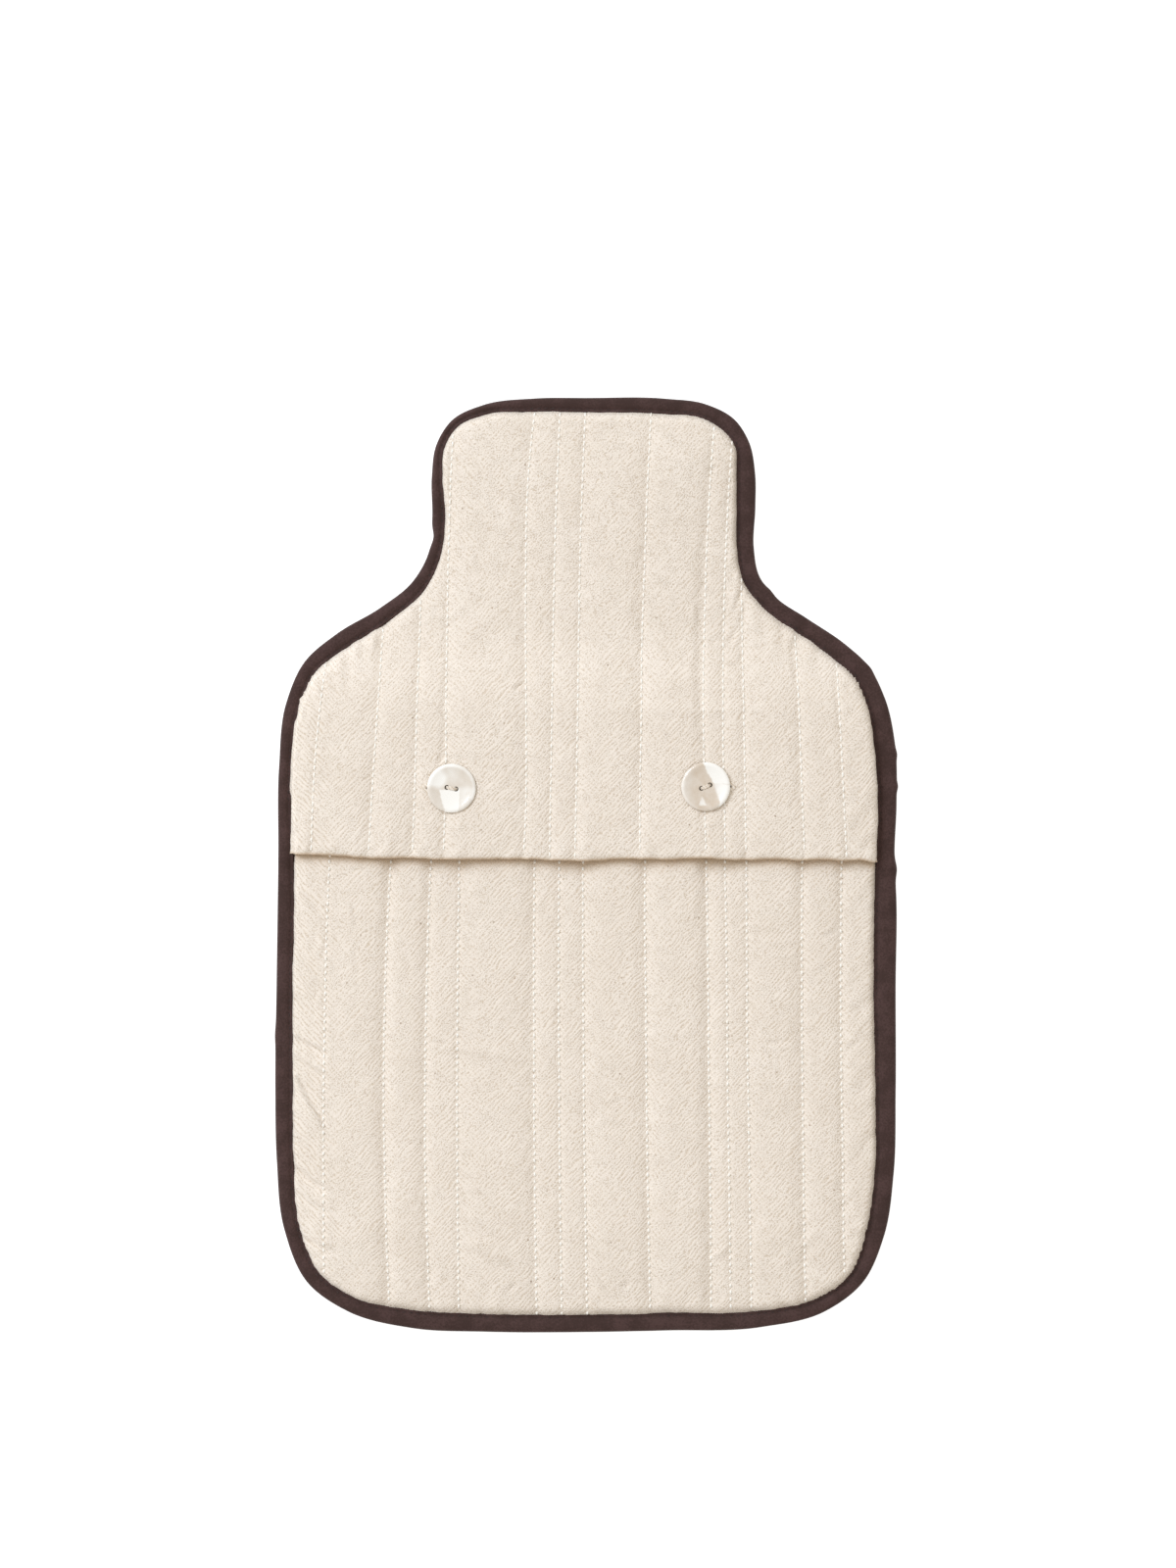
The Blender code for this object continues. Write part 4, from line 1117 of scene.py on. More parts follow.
@dataclass
class QuiltedPanel:
    """A panel of cotton quilted to a thin filling in channels that run along the cover."""

    name: str                   # the piece's and the CAD node's name
    edge: CoverEdge
    layers: Layers
    lines: StitchLines
    stitch: StitchKind
    flat: Pair                  # width and length that the cloth was cut to
    cut_area: float             # area of the cut, in square metres
    cell: float = 0.9           # spacing of the mesh where the panel shows
    block: int = 3              # on the hidden side, this many rows and columns are one
    creases: tuple[Crease, ...] = ()
    crease_depth: float = 2.0   # how much deeper they are than listed
    waver: float = 1.3          # how far the drags waver
    drag: float = 0.15          # height of those that slant down to a line from its left
    counter_drag: float = 0.10  # and from its right
    crumple: Pair = (0.13, 0.2)             # height of small and of slow crumples
    short_gathers: Pair = (0.42, 4.0)       # height, and how far in from the binding
    long_gathers: Pair = (0.45, 10.0)
    gather_slant: float = 1.2   # how far round they turn for each millimetre inward
    channel_beside: tuple[float, float, float] = (0.5, 2.5, 1.4)     # depth, place, half width
    pull_wide: float = 3.0      # half width over which a line draws the cloth down
    hole_wide: float = 0.75     # and over which a needle hole does
    soft_most: float = 0.16     # how much more brushed the cloth is towards the neck
    seed: int = 31

    def rows(self) -> Floats:
        """Return the distance of each row of the mesh from the panel's free edge."""
        raise NotImplementedError

    def along(self, x: Floats, row: Floats) -> Floats:
        """Return how far along the cover a row's points lie."""
        raise NotImplementedError

    def surfaces(self, spots: Spots) -> tuple[Floats, Floats]:
        """Return the heights of the panel's upper side and its lower side."""
        raise NotImplementedError

    def shown(self, xy: Floats) -> Flags:
        """Return where stitches are worth making."""
        raise NotImplementedError

    def uneven(self, kind: Waves, xy: Floats) -> Floats:
        """Return one kind of this panel's unevenness."""
        wide, long, turn, number = kind.value
        return Unevenness(wide, long, turn, self.seed + number).at(xy)

    def spots(self, xy: Floats) -> Spots:
        """Find where points lie on the panel.

        Args:
            xy: The points.

        Returns:
            The points with their distances from the binding and the lines of stitches.
        """
        distance, lap, into, around = self.edge.measure(xy)
        across = self.lines.channels(xy[:, 1])
        channel = np.clip((across <= xy[:, 0]).sum(axis=0), 1, len(across) - 1)
        number = np.arange(len(xy))
        left, right = across[channel - 1, number], across[channel, number]
        share = np.clip((xy[:, 0] - left) / (right - left), 0.0, 1.0)
        from_left, from_right = xy[:, 0] - left, right - xy[:, 0]
        gap = np.where(from_left < from_right, from_left, -from_right)
        nearest = np.clip(channel - (from_left < from_right), 0, len(self.lines.pulls) + 1)
        pull = np.array([0.0, *self.lines.pulls, 0.0])[nearest]
        return Spots(xy, distance - lap, around, into[:, 0], gap, share, right - left, pull)

    def columns(self, y: Floats) -> Floats:
        """Place the mesh's columns, closer together beside the lines of stitches.

        Args:
            y: The heights of the rows.

        Returns:
            How far across each point of each row lies.
        """
        across = self.lines.channels(y)
        widths = np.diff(self.lines.channels(np.zeros(1))[:, 0])
        found = []
        for left, right, width in zip(across, across[1:], widths):
            parts = max(4, round(width / self.cell * 1.12))
            t = np.arange(parts) / parts
            t = t - 0.07 * np.sin(2 * math.pi * t)
            found.append(left[:, None] * (1.0 - t) + right[:, None] * t)
        return np.hstack([*found, across[-1][:, None]])

    def net(self) -> tuple[Floats, Flags, tuple[int, int]]:
        """Lay the mesh's points out and choose the cells that are cloth.

        Returns:
            The points, whether each cell is cloth, and the number of rows and columns.
        """
        rows = self.rows()
        x = self.columns(self.along(np.zeros(len(rows)), rows))
        y = self.along(x.ravel(), np.repeat(rows, x.shape[1]))
        points = np.stack([x.ravel(), y], axis=1)
        grid = points.reshape(*x.shape, 2)
        middle = (grid[:-1, :-1] + grid[1:, :-1] + grid[:-1, 1:] + grid[1:, 1:]) / 4
        flat = middle.reshape(-1, 2)
        cloth = (self.edge.measure(flat)[0] > self.edge.panel_inset) & ~self.cut_out(flat)
        return points, cloth.reshape(middle.shape[:2]), x.shape

    def cut_out(self, xy: Floats) -> Flags:
        """Return where the cloth is cut away inside its edge."""
        return np.zeros(len(xy), dtype=bool)

    def draw_in(self, xy: Floats, free: Flags) -> Floats:
        """Move the net's border points onto the edge that the cloth was cut to.

        Args:
            xy: The border's points.
            free: Which of them lie on the panel's free edge.

        Returns:
            Where they go.
        """
        distance, _, into, _ = self.edge.measure(xy)
        near = distance < self.edge.panel_inset + 2.0 * self.cell
        moved = xy + into * (self.edge.panel_inset - distance)[:, None]
        return np.where((near & ~(free & (distance > self.edge.panel_inset)))[:, None], moved, xy)

    def lean(self, spots: Spots) -> Floats:
        """Find how far the brushed ribs lean left instead of right.

        They do so beside the cover's left side, and a little in each channel's left part.

        Args:
            spots: The points.

        Returns:
            From 0 to 1 for each point.
        """
        beside = 1.0 - rise(spots.past, 10.0, 22.0)
        in_channel = 0.6 * (1.0 - rise(spots.share, 0.08, 0.58))
        return np.maximum(in_channel, beside * np.clip(spots.facing, 0.0, 1.0))

    def fold_shade_share(self, xy: Floats) -> Floats:
        """Find where shade is painted on the cloth that lies deep between two layers.

        Args:
            xy: The points.

        Returns:
            How much painted shade each point gets: 1 just under the flap's edge, falling to 0 in the open.
        """
        below = self.layers.flap_edge(xy[:, 0]) - xy[:, 1]
        reach = 2.2 + 1.6 * self.layers.fold_hollow(xy[:, 0])
        return np.exp(-((np.clip(below, 0.0, None) / reach) ** 1.5)) * rise(below, -1.2, 0.0)

    def relief(self, spots: Spots) -> Floats:
        """Shape the outer cloth's small creases.

        Weak drags slant down to each line of stitches, the cloth is a little crumpled all
        over, and beside the binding it is gathered into short creases.

        Args:
            spots: The points.

        Returns:
            How far each moves up.
        """
        xy, past = spots.xy, np.clip(spots.past, 0.0, None)
        bent = xy + self.waver * np.stack([self.uneven(Waves.WAVER_ACROSS, xy),
                                           self.uneven(Waves.WAVER_ALONG, xy)], axis=1)
        right = 0.05 + self.drag * rise(spots.share, 0.35, 0.95)
        left = 0.04 + self.counter_drag * (1.0 - rise(spots.share, 0.05, 0.55))
        patchy = 0.55 + 0.45 * self.uneven(Waves.PATCHES, xy)
        total = self.uneven(Waves.DRAGS, bent) * right * patchy
        total += self.uneven(Waves.COUNTER_DRAGS, bent) * left
        total += self.crumple[0] * self.uneven(Waves.CRUMPLE, xy)
        total += self.crumple[1] * self.uneven(Waves.SLOW_CRUMPLE, xy)
        total *= rise(spots.past, -1.0, 4.0)
        drawn = np.stack([past, spots.around + self.gather_slant * spots.facing * past], axis=1)
        for kind, (high, reach) in ((Waves.SHORT_GATHERS, self.short_gathers),
                                    (Waves.LONG_GATHERS, self.long_gathers)):
            total += high * self.uneven(kind, drawn) * bell(past, reach) * rise(spots.past, -1.4, 0.0)
        deep, place, half = self.channel_beside
        total -= deep * np.clip(spots.facing, 0.0, 1.0) * bell(past - place, half)
        total -= spots.pull * bell(spots.gap, self.pull_wide) * rise(spots.past, 0.0, 5.0)
        holes = 1.0 + np.cos(2 * math.pi * xy[:, 1] / self.stitch.pitch)
        total -= self.stitch.tuck * bell(spots.gap, self.hole_wide) * holes * rise(spots.past, 0.0, 2.0)
        for crease in self.creases:
            total += self.crease_depth * crease.at(xy) * rise(spots.past, -0.4, 1.4)
        return total

    def build(self, material: Material) -> Piece:
        """Build the panel as one closed sheet of cloth.

        Args:
            material: Its finish.

        Returns:
            The panel.
        """
        points, cloth, (tall, broad) = self.net()
        count = tall * broad
        number = np.arange(count).reshape(tall, broad)
        quads = np.stack([number[:-1, :-1], number[:-1, 1:], number[1:, 1:], number[1:, :-1]], axis=2)
        border, walls = self.border(quads[cloth])
        points[border] = self.draw_in(points[border], border < broad)
        spots = self.spots(points)
        sides = np.vstack([np.column_stack([points, level]) for level in self.surfaces(spots)])
        faces = quads[cloth].tolist()
        faces += [[v + count for v in reversed(face)] for face in self.hidden_faces(cloth, number, quads)]
        faces += [[b, a, a + count, b + count] for a, b in walls]
        used = np.zeros(2 * count, dtype=bool)
        used[[v for face in faces for v in face]] = True
        fresh = (np.cumsum(used) - 1).tolist()
        faces = [[fresh[v] for v in face] for face in faces]
        piece = add_piece(self.name, sides[used], faces, material)
        turn_out(piece)
        soft = self.soft_most * rise(spots.xy[:, 1], 70.0, 130.0)
        # fold carries the share of painted shade under the flap's edge
        for name, values in (("lean", self.lean(spots)), ("fold", self.fold_shade_share(spots.xy)), ("soft", soft)):
            add_value(piece, name, np.tile(values, 2)[used])
        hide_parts(self.name)
        return piece

    @staticmethod
    def border(kept: Numbers) -> tuple[Numbers, Faces]:
        """Find the border of the kept cells.

        Args:
            kept: The cells, as numbers of points.

        Returns:
            The border's points, and its edges in the direction of the cells' own.
        """
        edges = np.vstack([kept[:, [k, (k + 1) % 4]] for k in range(4)])
        _, first, uses = np.unique(np.sort(edges, axis=1), axis=0, return_index=True, return_counts=True)
        alone = edges[first[uses == 1]]
        return np.unique(alone), alone.tolist()

    def hidden_faces(self, cloth: Flags, number: Numbers, quads: Numbers) -> Faces:
        """Make the hidden side of larger faces, which meet the shown side's at the border.

        Args:
            cloth: Which cells are cloth.
            number: The points' numbers by row and column.
            quads: The four points of each cell.

        Returns:
            The faces.
        """
        step = self.block
        tall, broad = cloth.shape[0] // step, cloth.shape[1] // step
        whole = cloth[:tall * step, :broad * step].reshape(tall, step, broad, step).all(axis=(1, 3))
        beside = np.pad(whole, 1)
        faces = []
        for i, j in np.argwhere(whole):
            block = number[i * step:(i + 1) * step + 1, j * step:(j + 1) * step + 1]
            joined = (beside[i, j + 1], beside[i + 1, j + 2], beside[i + 2, j + 1], beside[i + 1, j])
            loop: list[int] = []
            for turn, one in enumerate(joined):
                side = np.rot90(block, turn)[0, :-1].tolist()
                loop += side[:1] if one else side
            faces.append(loop)
        single = cloth.copy()
        single[:tall * step, :broad * step] &= ~whole.repeat(step, axis=0).repeat(step, axis=1)
        return faces + quads[single].tolist()

    def sew(self, material: Material, name: str, up: float = 1.0) -> Piece:
        """Sew the panel's lines of stitches.

        Args:
            material: The thread's finish.
            name: The piece's name.
            up: 1 on the upper side of the panel, or -1 on the lower side.

        Returns:
            All the panel's stitches as one piece.
        """
        kind, rng = self.stitch, np.random.default_rng(self.seed + 40)
        low, high = self.edge.curve[:, 1].min(), self.edge.curve[:, 1].max()
        middles = (np.arange(math.ceil(low / kind.pitch), high // kind.pitch) + 0.5) * kind.pitch
        across = self.lines.across(middles)
        places = np.stack([across, np.broadcast_to(middles, across.shape)], axis=2).reshape(-1, 2)
        lines = np.repeat(np.arange(len(across)), len(middles))
        keep = self.shown(places) & (self.spots(places).past > 0.6)
        places, lines = places[keep], lines[keep]
        tilt = rng.normal(0.0, 0.05, len(places))
        y = places[:, 1:] + kind.steps + rng.normal(0.0, 0.07, (len(places), 1))
        x = np.stack([self.lines.across(y[:, k])[lines, np.arange(len(y))] for k in range(5)], axis=1)
        x = x + tilt[:, None] * kind.steps / kind.length * 2
        flat = np.stack([x.ravel(), y.ravel()], axis=1)
        level = self.surfaces(self.spots(flat))[0].reshape(x.shape)
        z = level.mean(axis=1, keepdims=True) * 0.7 + level * 0.3 + up * kind.lift
        points, faces = strand_mesh(np.dstack([x, y, z]), np.tile([1.0, 0.0, 0.0], (len(x), 1)), kind.radius)
        log.info("%s: %d stitches", name, len(x))
        return add_piece(name, points, faces, material)

    def declare(self, piece: Piece, stitches: Piece, rests_on: str) -> None:
        """Take the panel, its stitches and what it rests on, and do nothing with them."""


@dataclass
class LowerFrontPanel(QuiltedPanel):
    """The lower front panel, running on under the flap to its hidden edge."""

    fold_round: float = 2.4     # the hidden edge is round over this depth
    hidden_step: float = 3.0    # spacing of the rows that the flap hides
    fold_sink: float = 0.9      # how far it sinks in the hollows under the flap's edge
    above: float = 0.62         # share of its thickness above its middle level

    def rows(self) -> Floats:
        """Place the rows, which are fine from just under the flap's fold.

        Returns:
            Their distances from the hidden edge.
        """
        turned = rows_round(self.fold_round, 6)
        hidden = np.arange(turned[-1] + self.hidden_step, self.layers.hidden_edge - 9.0, self.hidden_step)
        fine = np.arange(hidden[-1] + self.cell, self.layers.hidden_edge + 182.0, self.cell)
        return np.concatenate([turned, hidden, fine])

    def along(self, x: Floats, row: Floats) -> Floats:
        """Return how far along the rows lie, straight down from the hidden edge."""
        return self.layers.hidden_edge - row + 0.0 * x

    def shown(self, xy: Floats) -> Flags:
        """Return where stitches show below the flap, or just under it."""
        return xy[:, 1] < self.layers.flap_edge(xy[:, 0]) + 6.0

    def surfaces(self, spots: Spots) -> tuple[Floats, Floats]:
        """Work out the panel's upper and lower side.

        Args:
            spots: The points.

        Returns:
            The height of each side.
        """
        layers, (x, y) = self.layers, spots.xy.T
        thick = layers.flattened(layers.puffed(spots), spots.xy)
        thick = thick * rounded((layers.hidden_edge - y) / self.fold_round, 0.06)
        hollow = layers.fold_hollow(x) * bell(y, 6.0) * rise(spots.past, 0.0, 5.0)
        level = layers.front_level(spots) - self.fold_sink * hollow
        visible = 1.0 - rise(y, 4.0, 10.0)
        top = level + thick * self.above + self.relief(spots) * visible
        return top, level - thick * (1.0 - self.above)


@dataclass
class UpperFrontPanel(QuiltedPanel):
    """The upper front panel: the neck, the shoulders and the buttoned flap."""

    fold_round: float = 2.6     # the flap's fold is round over this depth
    crown_fall: float = 34.0    # past the hidden edge, the flap comes down over this far
    lift: float = 0.9           # how far its edge stands up over the hollows
    lift_reach: float = 16.0    # and how far from the fold that fades
    ripple: float = 0.42        # height of the ripples beside the fold
    gathers: float = 0.26       # and of the cloth gathered there

    def rows(self) -> Floats:
        """Return the rows' distances from the flap's fold, close together round it."""
        turned = rows_round(self.fold_round, 9)
        return np.concatenate([turned, np.arange(turned[-1] + self.cell, 184.0, self.cell)])

    def along(self, x: Floats, row: Floats) -> Floats:
        """Return how far along the rows lie, each as wavy as the fold."""
        return self.layers.flap_edge(x) + row

    def shown(self, xy: Floats) -> Flags:
        """Return where stitches show, up to the fold and round the buttonholes."""
        return (xy[:, 1] > self.layers.flap_edge(xy[:, 0]) + 2.2) & ~self.cut_out(xy, 1.4)

    def cut_out(self, xy: Floats, grow: float = 0.0) -> Flags:
        """Return where the buttonholes are."""
        return np.min([b.slot_reach(xy, grow) for b in BUTTONS], axis=0) < 1.0

    def draw_in(self, xy: Floats, free: Flags) -> Floats:
        """Move border points onto the cut edge, or onto the buttonholes' edges.

        Args:
            xy: The border's points.
            free: Which of them lie on the flap's fold.

        Returns:
            Where they go.
        """
        moved = super().draw_in(xy, free)
        for button in BUTTONS:
            reach = button.slot_reach(xy)[:, None]
            middle = np.array([button.x + button.slot_shift, button.y])
            moved = np.where(reach < 2.2, middle + (xy - middle) / reach, moved)
        return moved

    def surfaces(self, spots: Spots) -> tuple[Floats, Floats]:
        """Work out the panel's two sides, which lie on the lower panel up to its hidden edge.

        Args:
            spots: The points.

        Returns:
            The height of the upper and of the lower side.
        """
        layers, xy = self.layers, spots.xy
        past = xy[:, 1] - layers.hidden_edge - layers.gap
        swell = layers.swell(spots)
        bound = (1.0 - swell) * (layers.pressed + layers.gap) * (1.0 - smooth(past / layers.edge_fall))
        swelled = swell * (layers.loft + layers.flap_rest) * (1.0 - smooth(past / self.crown_fall))
        from_fold = xy[:, 1] - layers.flap_edge(xy[:, 0])
        pressed = layers.under_button(xy)
        lifted = self.lift * layers.fold_hollow(xy[:, 0]) * trail(from_fold, self.lift_reach)
        ripple = self.uneven(Waves.FOLD_RIPPLE, xy) + 0.8 * self.uneven(Waves.FOLD_SWELLS, xy)
        lifted += self.ripple * ripple * trail(from_fold, 3.5) - layers.seat_sink * pressed
        lifted += self.gathers * self.uneven(Waves.FOLD_GATHERS, xy) * bell(from_fold, 6.5)
        level = layers.front_level(spots) + bound + swelled + lifted * swell
        thick = layers.flattened(layers.puffed(spots), xy) * rounded(from_fold / self.fold_round, 0.05)
        calm = 1.0 - 0.4 * rise(xy[:, 1], 80.0, 140.0)
        calm = calm * (1.0 - 0.8 * pressed) * rise(from_fold, 0.0, 3.0)
        return level + thick * 0.5 + self.relief(spots) * calm, level - thick * 0.5


@dataclass
class BackPanel(QuiltedPanel):
    """The back of the cover, in one piece, lying flat on its channels."""

    lift_in: float = 8.0        # the binding holds its edge up over this far
    groove: float = 0.9         # depth of the lines of stitches in its underside
    flat_crown: float = 0.62    # a channel is pressed flat where its crown is higher

    def rows(self) -> Floats:
        """Return the rows' distances from the bottom of the cover."""
        return np.arange(0.0, 366.0, self.cell)

    def along(self, x: Floats, row: Floats) -> Floats:
        """Return how far along the rows lie."""
        return row - 183.0 + 0.0 * x

    def shown(self, xy: Floats) -> Flags:
        """Return that stitches are made all over."""
        return np.ones(len(xy), dtype=bool)

    def fold_shade_share(self, xy: Floats) -> Floats:
        """Return that no shade is painted on the back, which lies in no fold."""
        return np.zeros(len(xy))

    def surfaces(self, spots: Spots) -> tuple[Floats, Floats]:
        """Work out the panel's sides.

        Args:
            spots: The points.

        Returns:
            The height of its outer side, which is underneath, and of its inner side.
        """
        lift = 1.0 - smooth(spots.past / self.lift_in)
        groove = self.groove * (1.0 - np.clip(self.layers.crown(spots) / self.flat_crown, 0.0, 1.0))
        under = self.layers.rest * lift + groove * (1.0 - lift)
        return under, under + self.layers.puffed(spots)


# ------------------------------------------------------------------------- the other pieces

@dataclass
class Binding:
    """One strip of brown cotton folded over the edge of all the layers."""

    edge: CoverEdge
    layers: Layers
    ditch: float = 1.3          # from the lap's inner edge to the stitches that hold it
    ditch_deep: float = 0.38    # how far they draw the tape down
    ditch_wide: float = 0.42    # and over what half width
    bulge: float = 0.18         # how far the tape bulges outside them
    lip: float = 1.05           # how high the strip stands off the cloth inside them
    ragged: float = 0.35        # how far the lap's inner edge frays
    bend: float = 1.3           # how far in from the edge the turn over it begins
    inside: float = 1.05        # the front's inner side lies this far below its top
    # Sections of the strip's front, as shares of the lap in from the edge.
    shares: tuple[float, ...] = (0.946154, 0.92, 0.875, 0.83, 0.785, 0.74, 0.68, 0.61, 0.53, 0.44, 0.36)
    stitch: StitchKind = StitchKind(2.7, 1.7, 0.2, 0.03, 0.5, bend=0.3)

    def cloth_top(self, xy: Floats) -> Floats:
        """Return how high the front's cloth is inside the binding."""
        return self.layers.rim_height(xy) - self.layers.tape - self.layers.gap

    def front(self, share: float, lap: Floats, high: Floats, cloth: Floats) -> Floats:
        """Work out one line of the strip's front, round the cover.

        Args:
            share: How far in from the edge it is, as a share of the lap.
            lap: The lap's width.
            high: Height of the binding.
            cloth: Height of the cloth inside it.

        Returns:
            The line's height.
        """
        inward, seam = share * lap, lap - self.ditch
        crown = high + self.bulge * np.sin(math.pi * np.clip(inward / seam, 0.0, 1.0))
        blend = rise(inward - seam, -1.7, -0.2)
        dip = self.ditch_deep * bell(inward - seam, self.ditch_wide)
        return crown * (1.0 - blend) + (cloth + self.lip) * blend - dip

    def build(self, material: Material) -> Piece:
        """Build the strip, closed on itself all round the cover.

        Args:
            material: Its finish.

        Returns:
            The binding.
        """
        centre, laps, into = self.edge.curve[:, :2], self.edge.curve[:, 2], self.edge.into
        inner = centre + into * laps[:, None]
        high = np.maximum(self.layers.rim_height(centre), self.layers.rim_height(inner))
        cloth, under, half = self.cloth_top(inner), high - self.inside, high / 2
        sides = np.resize([1.0, -1.0], len(laps))
        frayed = laps + self.ragged * sides * Unevenness(3.0, 3.0, seed=5).at(centre)
        flat = np.zeros(len(laps))
        rings = [                                                           # how far in, and how high
            (frayed, cloth + 0.06), (frayed + 0.04, cloth + 0.24), (frayed - 0.08, cloth + 0.42),
            *[(laps * share, self.front(share, laps, high, cloth)) for share in self.shares],
            *[(flat + self.bend * (1.0 - math.cos(t)), half + (half - 0.02) * math.sin(t))
              for t in np.radians(np.linspace(80, -80, 9))],
            (laps * 0.5, flat), (laps - 0.3, flat), (laps, flat + 0.35), (laps - 0.1, flat + 0.75),
            (flat + 1.35, flat + 0.95), (flat + 1.35, under),               # inside the strip
            (laps - self.ditch - 1.4, under), (laps - self.ditch, cloth + 0.06),
        ]
        points = np.stack([np.column_stack([centre + into * depth[:, None], level])
                           for depth, level in rings], axis=1)
        shaped = points[:, 3:3 + len(self.shares) + 4]
        shaped[:, :, 2] += self.relief(shaped[:, :, :2].reshape(-1, 2)).reshape(shaped.shape[:2])
        count, around = points.shape[:2]
        faces: Faces = []
        for here in range(0, count * around, around):
            there = (here + around) % (count * around)
            faces += [[here + k, here + (k + 1) % around, there + (k + 1) % around, there + k]
                      for k in range(around)]
        piece = add_piece("binding", points.reshape(-1, 3), faces, material)
        turn_out(piece)
        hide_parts("binding")
        return piece

    @staticmethod
    def relief(xy: Floats) -> Floats:
        """Return the strip's own small creases."""
        return 0.10 * Unevenness(2.6, 3.4, 25, 71).at(xy) + 0.14 * Unevenness(7, 9, 60, 72).at(xy)

    def sew(self, material: Material) -> Piece:
        """Sew the line of stitches that holds the strip down.

        Args:
            material: The thread's finish.

        Returns:
            The stitches as one piece.
        """
        kind, curve, into = self.stitch, self.edge.curve, self.edge.into
        line, inner = (np.vstack([loop, loop[:1]]) for loop in (
            curve[:, :2] + into * (curve[:, 2:] - back) for back in (self.ditch, 0.0)))
        run = np.concatenate([[0.0], np.cumsum(np.linalg.norm(np.diff(line, axis=0), axis=1))])
        count = round(run[-1] / kind.pitch)
        at = ((np.arange(count)[:, None] * run[-1] / count + kind.steps) % run[-1]).ravel()
        line, inner = (np.stack([np.interp(at, run, loop[:, k]) for k in (0, 1)], axis=1)
                       for loop in (line, inner))
        z = self.cloth_top(inner) + self.lip - self.ditch_deep
        paths = np.column_stack([line, z]).reshape(count, 5, 3)
        paths[:, :, 2] += kind.lift
        ahead = paths[:, -1] - paths[:, 0]
        across = np.stack([-ahead[:, 1], ahead[:, 0], 0.0 * ahead[:, 0]], axis=1)
        across /= np.linalg.norm(across, axis=1)[:, None]
        points, faces = strand_mesh(paths, across, kind.radius, 5)
        return add_piece("binding_stitches", points, faces, material)


